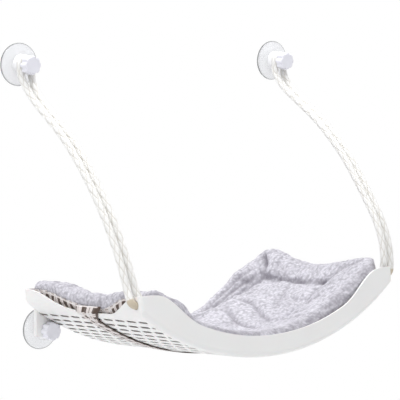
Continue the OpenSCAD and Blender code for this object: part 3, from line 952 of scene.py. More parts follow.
@dataclass
class RopeSling:
    """One endless braided sling: over a stud, down, through a hole in the end wall and up."""

    side: Side
    frame: TrayFrame
    radius: float = 6.5
    carriers: int = 4
    repeat: float = 25.0
    ring_step: float = 1.25
    ring_sides: int = 48
    relief: float = 1.25
    strand_curve: float = 1.85
    strand_length: float = 0.86
    cup_x: float = 282.0
    cup_z: float = 452.6
    cap_height: float = 15.5
    stud_radius: float = 4.0
    gap: float = 0.3
    hole_gap: float = 0.15
    hole_reach: float = 151.0
    hole_height: float = 111.0
    half_length: float = 276.0
    # Span around the point in the tray's hole where the sling is darker brown and its braid flatter.
    hole_span_half: float = 13.0
    hole_span_fade: float = 3.0
    hole_span_flat: float = 0.75
    turn_steps: int = 8
    span_steps: int = 40

    def half_turn(self, middle: np.ndarray, radius: float, start: np.ndarray,
                  through: np.ndarray) -> list[np.ndarray]:
        """Points of a half circle, without its two ends.

        Args:
            middle: the circle's middle.
            radius: its radius.
            start: direction from the middle to where it starts.
            through: direction from the middle to its crown.

        Returns:
            The points in order.
        """
        angles = (math.pi * k / self.turn_steps for k in range(1, self.turn_steps))
        return [middle + radius * (math.cos(a) * start + math.sin(a) * through) for a in angles]

    def centreline(self) -> tuple[np.ndarray, int]:
        """Lays the sling's line as the CAD does.

        Returns:
            The closed line's points in mm, and the number of the point in the tray's hole.
        """
        route = LEFT_ROUTE if self.side is Side.LEFT else RIGHT_ROUTE
        wall = self.frame.wall
        loop = self.stud_radius + self.radius + self.gap
        turn = wall / 2 + self.radius + self.gap + self.hole_gap
        hole = np.array([[self.half_length - wall / 2, -self.hole_reach, self.hole_height]])
        end = self.frame.world(hole)[0] / MM
        last = np.array([0.0, -route[-1][0], route[-1][1]])
        fall = (end - last) * np.array([0, 1, 1])
        fall /= np.linalg.norm(fall)
        top = np.array([self.cup_x, -(self.cap_height + self.radius + self.gap), self.cup_z])
        low = end - turn * fall
        spots = [top]
        for k, (out, high) in enumerate(route, start=1):
            x = top[0] + (low[0] - top[0]) * k / (len(route) + 1)
            spots.append(np.array([x, -out, high]))
        spots.append(low)
        gaps = [loop, *STRAND_GAPS, turn]
        across, up = np.array([1.0, 0.0, 0.0]), np.array([0.0, 0.0, 1.0])
        outer = [p + g * across for p, g in zip(spots, gaps)]
        inner = [p - g * across for p, g in zip(spots, gaps)][::-1]
        under = self.half_turn(low, turn, across, fall)
        over = self.half_turn(top, loop, -across, up)
        line = np.array(outer + under + inner + over)
        line[:, 0] *= self.side.value
        return line, len(outer) + len(under) // 2

    def spaced(self, line: np.ndarray, mark: int) -> tuple[np.ndarray, float, float]:
        """Rounds the closed line through its points and cuts it in even steps.

        Args:
            line: the closed line's points.
            mark: the number of one of them.

        Returns:
            The even points, the line's length and the mark's place along it.
        """
        dense = []
        n = len(line)
        t = np.arange(self.span_steps)[:, None] / self.span_steps
        for k in range(n):
            a, b, c, d = (line[(k + j) % n] for j in (-1, 0, 1, 2))
            dense.append(0.5 * (2 * b + (c - a) * t + (2 * a - 5 * b + 4 * c - d) * t ** 2
                                + (3 * b - a - 3 * c + d) * t ** 3))
        dense = np.concatenate(dense)
        gaps = np.linalg.norm(np.roll(dense, -1, 0) - dense, axis=1)
        far = np.concatenate([[0.0], np.cumsum(gaps)])
        total = far[-1]
        count = int(round(total / self.ring_step))
        at = np.arange(count) * total / count
        closed = np.vstack([dense, dense[:1]])
        even = np.stack([np.interp(at, far, closed[:, i]) for i in range(3)], 1)
        return even, total, far[mark * self.span_steps]

    @staticmethod
    def square_to(line: np.ndarray) -> tuple[np.ndarray, np.ndarray]:
        """Finds two directions square to the closed line, which turn evenly along it.

        Args:
            line: the closed line's points.

        Returns:
            The two directions at each point.
        """
        ahead = np.roll(line, -1, 0) - np.roll(line, 1, 0)
        ahead /= np.linalg.norm(ahead, axis=1)[:, None]
        side = np.cross(ahead[0], [0.3, 1.0, 0.1])
        side /= np.linalg.norm(side)
        sides = []
        for t in ahead:
            side = side - (side @ t) * t
            side = side / np.linalg.norm(side)
            sides.append(side)
        sides = np.array(sides)
        closing = sides[-1] - (sides[-1] @ ahead[0]) * ahead[0]
        closing /= np.linalg.norm(closing)
        twist = math.atan2(np.cross(closing, sides[0]) @ ahead[0], closing @ sides[0])
        turn = (twist * np.arange(len(line)) / len(line))[:, None]
        first = np.cos(turn) * sides + np.sin(turn) * np.cross(ahead, sides)
        return first, np.cross(ahead, first)

    def strands(self, rings: int, repeats: int) -> np.ndarray:
        """Works out how far each point of the rings stands up on its strand.

        Args:
            rings: the number of rings.
            repeats: the braid's repeats along the sling.

        Returns:
            0 between strands to 1 on a strand's crown, for each ring and side.
        """
        along = (np.arange(rings) * repeats / rings)[:, None]
        angle = (np.arange(self.ring_sides) / self.ring_sides)[None, :]
        a = self.carriers * angle - along
        b = self.carriers * angle + along
        over = (np.floor(a) + np.floor(b)) % 2
        u, v = a % 1 - 0.5, b % 1 - 0.5
        across = np.where(over < 0.5, u, v)
        length = np.where(over < 0.5, v, u)
        return (np.sqrt(np.maximum(0.0, 1 - (self.strand_curve * across) ** 2))
                * np.cos(math.pi * length * self.strand_length))

    def build(self, material: bpy.types.Material) -> bpy.types.Object:
        """Sweeps the braid along the line.

        Args:
            material: the braided cord.

        Returns:
            The piece that stands for the CAD sling.
        """
        line, total, middle = self.spaced(*self.centreline())
        first, second = self.square_to(line)
        rings, sides = len(line), self.ring_sides
        repeats = max(1, round(total / self.repeat))
        place = np.arange(rings) * total / rings
        apart = np.abs((place - middle + total / 2) % total - total / 2)
        # 1 along the span through the tray's hole, where the sling is darker brown and flatter.
        at_hole = 1 - smooth((apart - self.hole_span_half) / self.hole_span_fade)
        low = self.relief * (1 - self.strands(rings, repeats))
        height = self.radius - low * (1 - self.hole_span_flat * at_hole[:, None])
        angle = 2 * math.pi * np.arange(sides) / sides
        spokes = (np.cos(angle)[None, :, None] * first[:, None, :]
                  + np.sin(angle)[None, :, None] * second[:, None, :])
        points = line[:, None, :] + height[..., None] * spokes
        number = np.arange(rings * sides).reshape(rings, sides)
        faces = quads(np.pad(number, ((0, 1), (0, 1)), mode="wrap"))[:, [0, 3, 2, 1]]
        name = self.side.name.lower()
        obj = mesh_object(f"rope_sling_{name}", points.reshape(-1, 3) * MM, faces)
        self.map_braid(obj.data, rings, repeats)
        store(obj.data, "at_hole", np.repeat(at_hole, sides))
        return finish_piece(obj, material, "rope", "perch", f"rope_{name}")

    def map_braid(self, mesh: bpy.types.Mesh, rings: int, repeats: int) -> None:
        """Writes the braid's map: U once round the rope, V one braid repeat along it.

        Args:
            mesh: the sling's mesh, ring after ring.
            rings: the number of rings.
            repeats: the braid's repeats along the sling.
        """
        uv = mesh.uv_layers.new(name="braid")
        corner = np.empty(len(mesh.loops), int)
        mesh.loops.foreach_get("vertex_index", corner)
        ring, spoke = corner // self.ring_sides, corner % self.ring_sides
        axes = []
        for place, whole in ((spoke / self.ring_sides, 1), (ring * repeats / rings, repeats)):
            place = place.reshape(-1, 4)
            split = (np.ptp(place, axis=1) > whole / 2)[:, None] & (place < whole / 2)
            axes.append(np.where(split, place + whole, place).ravel())
        uv.data.foreach_set("uv", np.stack(axes, 1).astype(np.float32).ravel())


# Cushion


@dataclass(frozen=True)
class Crease:
    """A fold in the plush: a line of places (x, v) in mm, its depth and its half width."""

    line: tuple[tuple[float, float], ...]
    depth: float
    width: float

    def share(self, x: np.ndarray, v: np.ndarray) -> np.ndarray:
        """Works out how far into the fold each place is.

        Args:
            x: places along the tray.
            v: places across it.

        Returns:
            0 beside the fold to 1 in its middle, shallower at its two ends.
        """
        fade_start, fade_slope = 0.25, 4
        best, fade = np.full(len(x), np.inf), np.ones(len(x))
        ends = np.array(self.line, float)
        p = np.stack([x, v], 1)
        total = np.linalg.norm(np.diff(ends, axis=0), axis=1)
        start = np.concatenate([[0], np.cumsum(total)])
        for k in range(len(ends) - 1):
            d = ends[k + 1] - ends[k]
            t = np.clip(((p - ends[k]) @ d) / (d @ d), 0, 1)
            gap = np.linalg.norm(p - ends[k] - t[:, None] * d, axis=1)
            along = (start[k] + t * total[k]) / start[-1]
            from_end = np.minimum(along, 1 - along)
            near = gap < best
            best = np.where(near, gap, best)
            fade = np.where(near, np.minimum(1, fade_slope * from_end + fade_start), fade)
        return np.exp(-(best / self.width) ** 2) * fade


@dataclass(frozen=True)
class Profile:
    """A height along a line, given at a few places and smooth between them."""

    at: tuple[float, ...]
    height: tuple[float, ...]

    def __call__(self, place: np.ndarray) -> np.ndarray:
        """Reads the profile.

        Args:
            place: places along the line.

        Returns:
            The height at each of them.
        """
        at, height = np.array(self.at, float), np.array(self.height, float)
        place = np.clip(place, at[0], at[-1])
        k = np.clip(np.searchsorted(at, place, side="right") - 1, 0, len(at) - 2)
        straight = (place - at[k]) / (at[k + 1] - at[k])
        return height[k] + (height[k + 1] - height[k]) * (0.5 * smooth(straight) + 0.5 * straight)


CLOTH_SETTINGS = {"quality": 6, "mass": 0.25, "tension_stiffness": 12, "compression_stiffness": 12,
                  "shear_stiffness": 5, "bending_stiffness": 0.15, "use_pressure": True,
                  "uniform_pressure_force": 4.0, "vertex_group_mass": "held", "shrink_min": -0.07}


@dataclass
class Cushion:
    """The loose plush pad with its plaid underside.

    A place on it is given by its shares s along and t across, from -1 to 1: s is -1 at its left
    end and t is -1 at its front. Its crown follows the photo. Its creases lie as they do there,
    and their depths are guessed.
    """

    frame: TrayFrame
    half_x: float = 268.5
    half_v: float = 159.5
    border_end: float = 38.0
    border_front: float = 102.0
    border_rear: float = 54.0
    edge: float = 15.0
    edge_dip: float = 9.0
    edge_lift: float = 13.0
    edge_lift_rear: float = 14.5
    dent: float = 12.0
    climb: float = 15.0
    climb_tight: float = 0.45
    crest: float = 0.3
    tuck: float = 0.41
    under_share: float = 0.42
    under_height: float = 8.0
    puff: float = 5.0
    puff_run: float = 13.0
    inset: float = 0.8
    least: float = 3.0
    floor_gap: float = 0.3
    floor_clear: float = 0.4
    cells: tuple[int, int] = (130, 78)
    voxel: float = 5.2
    cloth: float = 1.2
    cloth_gap: float = 0.3
    cloth_thick: float = 0.9
    seam_hold: float = 5.0
    creep: float = 3.0
    swell_frames: int = 20
    swell_range: tuple[float, float] = (-1.2, 3.0)
    channel: float = 4.6
    channel_half: float = 4.0
    pucker: float = 2.2
    pucker_reach: float = 24.0
    lumps: float = 1.6
    full_crease: float = 7.0
    tufts: tuple[float, float] = (0.7, 0.4)
    check_shift: float = 0.8
    # Strength of the painted shade on the underside where it lies on the tray.
    under_shade: float = 0.7
    crown_left: Profile = Profile((-160, -145, -120, -89, -61, -28, 2, 36, 67, 102, 135, 160),
                                  (54, 56, 49, 41, 37, 35, 37, 42, 49, 54, 53, 52))
    crown_right: Profile = Profile((-160, -140, -112, -61, -8, 21, 54, 74, 90, 116, 138, 160),
                                   (48, 58, 58, 50, 43, 43, 47, 53, 61, 68, 64, 57))
    crown_front: Profile = Profile((-265, -222, -207, -193, -180, -90, 0, 90, 150, 222, 265),
                                   (54, 60, 57, 50, 43, 42, 40, 43, 48, 55, 50))
    crown_rear: Profile = Profile(
        (-265, -222, -150, -84, 0, 84, 108, 135, 162, 188, 205, 245, 265),
        (52, 54, 50, 43, 40, 42, 46, 52, 58, 63, 66, 61, 57))
    seam_rear: Profile = Profile((-265, -120, 0, 45, 85, 120, 150, 185, 222, 265),
                                 (27, 20, 24, 34, 41, 45, 44, 40, 34, 33))
    creases: tuple[Crease, ...] = (
        # Mitres of the border's corners
        Crease(((212, 99), (218, 107), (224, 117), (231, 127), (239, 137)), 9, 4.5),
        Crease(((-212, 99), (-218, 107), (-224, 117), (-231, 127), (-239, 137)), 8, 4.5),
        Crease(((212, -62), (226, -86), (240, -120)), 3, 5),
        Crease(((-212, -62), (-226, -86), (-240, -120)), 3, 5),
        # Rear border
        Crease(((206, 112), (170, 116), (126, 120), (84, 127)), 5, 4.5),
        Crease(((206, 126), (162, 130), (112, 133), (62, 130)), 4.5, 4.5),
        Crease(((150, 110), (110, 113), (60, 117), (12, 112)), 4, 4.5),
        Crease(((182, 106), (178, 116), (166, 130)), 3.5, 4.5),
        Crease(((120, 104), (112, 116), (94, 128)), 4, 4.5),
        Crease(((58, 106), (48, 118), (26, 134)), 4, 5),
        Crease(((-20, 106), (-18, 122), (-8, 142)), 4, 5),
        Crease(((-80, 106), (-86, 122), (-96, 142)), 4, 5),
        Crease(((-150, 106), (-154, 122), (-160, 142)), 4, 5),
        # Panel
        Crease(((93, 80), (70, 25), (64, -18), (68, -48)), 4.5, 5),
        Crease(((124, 87), (125, 38), (98, -33), (88, -54)), 4, 5),
        Crease(((196, 20), (160, 6), (132, -12)), 2.5, 6),
        # Front border
        Crease(((118, -66), (112, -92), (118, -112)), 4, 4.5),
        Crease(((92, -66), (84, -96), (96, -122)), 4, 4.5),
        Crease(((150, -66), (152, -92), (160, -110)), 3, 4.5),
        Crease(((180, -66), (184, -88), (192, -106)), 3, 4.5),
        Crease(((-40, -66), (-52, -92), (-60, -120)), 4, 5),
        Crease(((-110, -66), (-120, -92), (-122, -120)), 4, 5),
        # Left half of the panel
        Crease(((-60, 60), (-90, 10), (-120, -30)), 3, 6))

    @property
    def under(self) -> float:
        """Radius of the cushion's underside."""
        return self.frame.floor_radius - self.frame.wall - self.floor_gap

    def side_border(self, t: np.ndarray) -> np.ndarray:
        """Width of the front or rear border, by the side that t is on."""
        return np.where(t < 0, self.border_front, self.border_rear)

    def crossed(self, s: np.ndarray, t: np.ndarray) -> tuple[np.ndarray, np.ndarray]:
        """Works out how much of the borders is crossed inwards from the edge.

        Args:
            s: shares along the cushion.
            t: shares across it.

        Returns:
            The shares of the end border and of the side border, 1 at the sewn channel.
        """
        ends = (1 - np.abs(s)) * self.half_x / self.border_end
        return ends, (1 - np.abs(t)) * self.half_v / self.side_border(t)

    def border_share(self, s: np.ndarray, t: np.ndarray) -> np.ndarray:
        """Share of a border crossed inwards from the edge, 1 at the sewn channel."""
        return np.minimum(*self.crossed(s, t))

    def border_width(self, s: np.ndarray, t: np.ndarray) -> np.ndarray:
        """Width in mm of the border that a place is on or nearest to."""
        ends, sides = self.crossed(s, t)
        return np.where(ends < sides, self.border_end, self.side_border(t))

    def sewn(self, s: np.ndarray, t: np.ndarray) -> np.ndarray:
        """Works out where plush and plaid meet, which at the ends rises with the tray's rim.

        Args:
            s: shares along the cushion.
            t: shares across it.

        Returns:
            The height of that seam above the floor.
        """
        end = smooth((np.abs(s) - 0.55) / 0.45)
        lowest, front_start, front_run, rear_run = -0.33, -0.27, 0.5, 1.1
        front = t < lowest
        away = np.where(front, (front_start - t) / front_run, (t - lowest) / rear_run)
        rise = smooth(away) ** np.where(front, 1.1, 1.5)
        lift = np.where(t < 0, self.edge_lift, self.edge_lift_rear)
        return self.edge + end * (-self.edge_dip + (self.edge_dip + lift) * rise)

    def crown(self, s: np.ndarray, t: np.ndarray) -> np.ndarray:
        """Works out the crown of the border nearest to each place.

        Args:
            s: shares along the cushion.
            t: shares across it.

        Returns:
            The crown's height above the floor, blended at the corners.
        """
        x, v = s * self.half_x, t * self.half_v
        ends, sides = self.crossed(s, t)
        at_end = smooth(0.5 + 1.1 * (sides - ends))
        end = np.where(s < 0, self.crown_left(v), self.crown_right(v))
        side = np.where(t < 0, self.crown_front(x), self.crown_rear(x))
        return at_end * end + (1 - at_end) * side

    def bed(self, x: np.ndarray, v: np.ndarray) -> np.ndarray:
        """Works out the level of the sewn channel and of the panel between its lines.

        Args:
            x: places along the tray.
            v: places across it.

        Returns:
            The height above the floor, which climbs to the rear seam.
        """
        level = 20 + 7 * smooth((np.abs(x) - 60) / 120) + 3 * smooth((x - 170) / 60)
        return level + (self.seam_rear(x) - level) * smooth((v + 20) / 125)

    def heights(self, s: np.ndarray, t: np.ndarray) -> tuple[np.ndarray, np.ndarray]:
        """Works out the stuffed form.

        Args:
            s: shares along the cushion.
            t: shares across it.

        Returns:
            The heights of the top and of the underside above the floor.
        """
        edge = self.sewn(s, t)
        bed = self.bed(s * self.half_x, t * self.half_v)
        ends = (1 - np.abs(s)) * self.half_x
        sides = (1 - np.abs(t)) * self.half_v
        corner = smooth((np.minimum(np.abs(s), np.abs(t)) - 0.72) / 0.2)
        climb = self.climb * (1 - self.climb_tight * corner)
        outer = edge + (self.crown(s, t) - edge) * dome(np.clip(np.minimum(ends, sides) / climb, 0, 1))
        r = self.border_share(s, t)
        fall = np.clip((r - self.crest) / (1 - self.crest), 0, 1)
        border = bed + (outer - bed) * (1 - fall ** 1.9) ** 0.8
        inside = np.minimum(ends - self.border_end, sides - self.side_border(t))
        panel = bed + self.puff * (1 - np.exp(-np.maximum(inside, 0) / self.puff_run))
        low = edge * (1 - dome(np.clip(r / self.tuck, 0, 1)))
        return np.where(r < 1, border, panel), low

    def plan(self, s: np.ndarray, t: np.ndarray) -> tuple[np.ndarray, np.ndarray]:
        """Rounds the corners of the plan, and draws its front in where the ropes pass.

        Args:
            s: shares along the cushion.
            t: shares across it.

        Returns:
            The places x and v.
        """
        front_corner, rear_corner = 26.0, 18.0
        m = np.maximum(np.abs(s), np.abs(t))
        e = np.where(t < 0, front_corner, rear_corner)
        safe = np.maximum(m, 1e-6)
        k = np.maximum((np.abs(s) / safe) ** e + (np.abs(t) / safe) ** e, 1) ** (-1 / e)
        k = 1 + (k - 1) * m * m
        dent_start, dent_run = np.where(s < 0, 0.66, 0.81), np.where(s < 0, 0.12, 0.08)
        pull = self.dent * smooth((-t - dent_start) / dent_run)
        return s * (self.half_x - self.inset - pull) * k, t * (self.half_v - self.inset) * k

    def lean(self, x: np.ndarray) -> np.ndarray:
        """Angle at which the cushion stands off the floor at x: square to it, upright at the ends."""
        a = np.arcsin(x / self.under)
        return a * (1 - smooth((np.abs(x) - self.half_x + self.border_end) / self.border_end))

    def foot(self, x: np.ndarray) -> np.ndarray:
        """Height of the cushion's underside at x."""
        return self.frame.floor_radius - np.sqrt(self.under ** 2 - x * x)

    def raise_up(self, x: np.ndarray, v: np.ndarray, h: np.ndarray) -> np.ndarray:
        """Finds points by their height off the floor.

        Args:
            x: places along the tray.
            v: places across it.
            h: heights off the floor above those places.

        Returns:
            Rows of x, v, w in the tray's frame.
        """
        lean = self.lean(x)
        return np.stack([x - h * np.sin(lean), v, self.foot(x) + h * np.cos(lean)], 1)

    def shares(self, local: np.ndarray) -> tuple[np.ndarray, np.ndarray, np.ndarray]:
        """Finds where points are on the cushion, the way back from raise_up.

        Args:
            local: rows of x, v, w in the tray's frame.

        Returns:
            Their shares along and across the cushion, and their heights off the floor.
        """
        x, v, w = local.T
        at = np.clip(x, -self.half_x, self.half_x)
        for _ in range(14):
            lean = self.lean(at)
            h = (w - self.foot(at)) / np.cos(lean)
            at = (at + np.clip(x + h * np.sin(lean), -self.half_x, self.half_x)) / 2
        return at / self.half_x, np.clip(v / self.half_v, -1, 1), h

    @staticmethod
    def flat_under(h: np.ndarray) -> np.ndarray:
        """1 where the cushion lies on the tray, falling to 0 a few mm up its sides."""
        return smooth((6.0 - h) / 5.0)

    @staticmethod
    def gathered(count: int) -> np.ndarray:
        """Shares from -1 to 1 for count cells, closer together at both ends."""
        q = 2 * np.arange(count + 1) / count - 1
        return np.sin(math.pi / 2 * q) * 0.35 + q * 0.65

    def blank(self) -> bpy.types.Object:
        """Makes the stuffed form before it swells, with a panel higher than the CAD solid's.

        Returns:
            The pad's object.
        """
        nx, ny = self.cells
        s, t = (q.ravel() for q in np.meshgrid(self.gathered(nx), self.gathered(ny), indexing="ij"))
        x, v = self.plan(s, t)
        top, low = self.heights(s, t)
        edge = self.sewn(s, t)
        number = np.arange((nx + 1) * (ny + 1)).reshape(nx + 1, ny + 1)
        rim = np.ones(number.shape, bool)
        rim[1:-1, 1:-1] = False
        on_rim = rim.ravel()
        top = np.where(on_rim, edge, np.maximum(top - self.inset, low + self.least))
        upper = self.raise_up(x, v, top)
        lower = self.raise_up(x, v, np.where(on_rim, edge, low + self.inset))
        merged = np.where(rim, number, number + number.size)
        faces = np.concatenate([quads(number), quads(merged)[:, ::-1]])
        points = self.frame.world(np.concatenate([upper, lower]))
        obj = mesh_object("cushion_pad", points, faces)
        with editing(obj.data) as work:
            loose = [p for p in work.verts if not p.link_faces]
            bmesh.ops.delete(work, geom=loose, context="VERTS")
        return obj

    def remesh(self, obj: bpy.types.Object) -> None:
        """Gives the form an even mesh, fit for a cloth simulation.

        Args:
            obj: the pad.
        """
        modifier = obj.modifiers.new("even", "REMESH")
        modifier.mode = "VOXEL"
        modifier.voxel_size = self.voxel * MM
        modifier.use_smooth_shade = True
        bake(obj)

    def swell(self, obj: bpy.types.Object) -> None:
        """Blows the cover up as held cloth, and keeps no more of that move than a few mm.

        The simulation moves most of the top further than swell_range, and is cut off there. So
        the form is that of heights, with a little of the cloth's swelling and puckering on it.

        Args:
            obj: the pad.
        """
        start, out = places(obj.data), normals(obj.data)
        s, t, h = self.shares(self.frame.local(start))
        off_seam = (self.border_share(s, t) - 1) * self.border_width(s, t)
        seam = np.exp(-(off_seam / self.seam_hold) ** 2)
        hold = np.clip(np.maximum(seam, self.flat_under(h)), 0, 1)
        group = obj.vertex_groups.new(name="held")
        for number in np.flatnonzero(hold > 0.02).tolist():
            group.add([number], float(hold[number]), "REPLACE")
        cloth = obj.modifiers.new("cloth", "CLOTH")
        for name, value in CLOTH_SETTINGS.items():
            setattr(cloth.settings, name, value)
        cloth.settings.effector_weights.gravity = 0.0
        cloth.collision_settings.use_collision = False
        scene = bpy.context.scene
        for number in range(1, self.swell_frames + 1):
            scene.frame_set(number)
        bake(obj)
        moved = places(obj.data) - start
        outward = np.einsum("ij,ij->i", moved, out)
        along = moved - outward[:, None] * out
        far = np.linalg.norm(along, axis=1)
        along *= np.minimum(1, self.creep * MM / np.maximum(far, 1e-9))[:, None]
        least, most = self.swell_range
        kept = np.clip(outward, least * MM, most * MM)
        put(obj.data, start + along + kept[:, None] * out)
        scene.frame_set(1)
        log.info("cushion simulated %.1f to %.1f mm outward, kept %.1f to %.1f mm, %.0f%% cut off",
                 outward.min() / MM, outward.max() / MM, kept.min() / MM, kept.max() / MM,
                 100 * np.mean(kept != outward))

    def sew(self, obj: bpy.types.Object) -> None:
        """Draws in the sewn channel and the folds, gives the pile its tufts, and stores the painted
        shade of the folds, the channel and the front border's lower face.

        Args:
            obj: the pad.
        """
        finer = obj.modifiers.new("fine", "SUBSURF")
        finer.levels = finer.render_levels = 1
        bake(obj)
        mesh = obj.data
        points, out = places(mesh), normals(mesh)
        local = self.frame.local(points)
        s, t, h = self.shares(local)
        upper = smooth((h - 10) / 6)
        off_seam = np.abs(self.border_share(s, t) - 1) * self.border_width(s, t)
        channel = np.exp(-(off_seam / self.channel_half) ** 2)
        puckers = lattice_noise(local * np.array([1, 1, 0.3]), 15, 3)
        puckers = puckers * np.exp(-(off_seam / self.pucker_reach) ** 2)
        sink = self.channel * channel + self.pucker * puckers
        # fold gathers the creases' share of the painted shade.
        fold = np.zeros(len(h))
        for crease in self.creases:
            share = crease.share(local[:, 0], local[:, 1])
            sink += crease.depth * share
            fold = np.maximum(fold, share * min(1.0, crease.depth / self.full_crease))
        sink += self.lumps * lattice_noise(local, 38, 7) * upper
        coarse, fine = self.tufts
        tuft = coarse * lattice_noise(local, 6.5, 11) + fine * lattice_noise(local, 3.6, 12)
        put(mesh, points + out * ((tuft - sink) * upper * MM)[:, None])
        # Painted shade low on the front border's outer face, along the sewn channel and in the
        # creases.
        front = smooth((-t - 0.84) / 0.12) * (0.6 + 0.4 * lattice_noise(local, 9, 21))
        channel_shade = channel * (0.55 + 0.35 * lattice_noise(local, 24, 22))
        shade = np.maximum.reduce([channel_shade, 0.9 * fold, 0.7 * front])
        store(mesh, "fold", np.clip(shade * upper, 0, 1))

    def confine(self, mesh: bpy.types.Mesh, spare: float) -> None:
        """Keeps the cover clear of the tray's floor and walls.

        Args:
            mesh: the cover.
            spare: how far it stays clear, in mm.
        """
        x, v, w = self.frame.local(places(mesh)).T
        x = np.clip(x, -self.half_x + spare, self.half_x - spare)
        v = np.clip(v, -self.half_v + spare, self.half_v - spare)
        w = np.maximum(w, self.frame.floor(x) + self.floor_clear + spare)
        put(mesh, self.frame.world(np.stack([x, v, w], 1)))

    def cover_plaid(self, obj: bpy.types.Object, material: bpy.types.Material) -> None:
        """Cuts the plaid underside from the pad's lower faces and lays it over them.

        Args:
            obj: the pad.
            material: the plaid cloth.
        """
        mesh = obj.data
        out = normals(mesh)
        local = self.frame.local(places(mesh))
        s, t, h = self.shares(local)
        edge = self.sewn(s, t) + 0.8 * lattice_noise(local, 30, 5)
        underneath = (self.border_share(s, t) < self.under_share) | (h < self.under_height)
        below = (h < edge) & underneath
        skin = bpy.data.meshes.new("cushion_plaid_cover")
        work = bmesh.new()
        work.from_mesh(mesh)
        work.verts.ensure_lookup_table()
        gone = [f for f in work.faces if not all(below[p.index] for p in f.verts)]
        bmesh.ops.delete(work, geom=gone, context="FACES")
        work.to_mesh(skin)
        work.free()
        skin.shade_smooth()
        cover = linked("cushion_plaid_cover", skin)
        step_in = np.where(below, self.cloth + self.cloth_gap, 0.0) * MM
        put(mesh, places(mesh) - out * step_in[:, None])
        self.map_cloth(skin)
        thicken(cover, self.cloth_thick, offset=-1.0)
        finish_piece(cover, material, "plaid_cloth", "cushion", "cushion_plaid_underside")

    def map_cloth(self, mesh: bpy.types.Mesh) -> None:
        """Writes each point's place on the flat cloth, in metres, and the painted shade where the
        cloth lies on the tray.

        Args:
            mesh: the cover.
        """
        local = self.frame.local(places(mesh))
        x, v, _ = local.T
        s, t, h = self.shares(local)
        radius, flat_x = self.frame.floor_radius - self.frame.wall, 262
        u = radius * np.arcsin(np.clip(x, -flat_x, flat_x) / radius)
        up_end = smooth((np.abs(x) - 245) / 20) * (h - self.sewn(s, t))
        up_side = smooth((np.abs(v) - 130) / 25) * h
        u = u + np.sign(x) * (up_end + self.check_shift)
        v = v + np.sign(v) * up_side
        store(mesh, "cloth_place", np.stack([u, v, 0 * u], 1) * MM)
        # Painted shade on the underside where it lies flat on the tray, seen through the slots.
        inner = smooth((250 - np.abs(x)) / 10)
        store(mesh, "binding_and_shade", self.under_shade * self.flat_under(h) * inner)

    def build(self, plush: bpy.types.Material, plaid: bpy.types.Material) -> bpy.types.Object:
        """Makes the plush pad and its plaid underside.

        Args:
            plush: the finish of the pad.
            plaid: the finish of its underside.

        Returns:
            The pad.
        """
        pad = self.blank()
        self.remesh(pad)
        self.swell(pad)
        self.confine(pad.data, spare=1.0)
        self.sew(pad)
        self.confine(pad.data, spare=0.4)
        self.cover_plaid(pad, plaid)
        finish_piece(pad, plush, "plush", "cushion", "cushion")
        return pad


# Strap


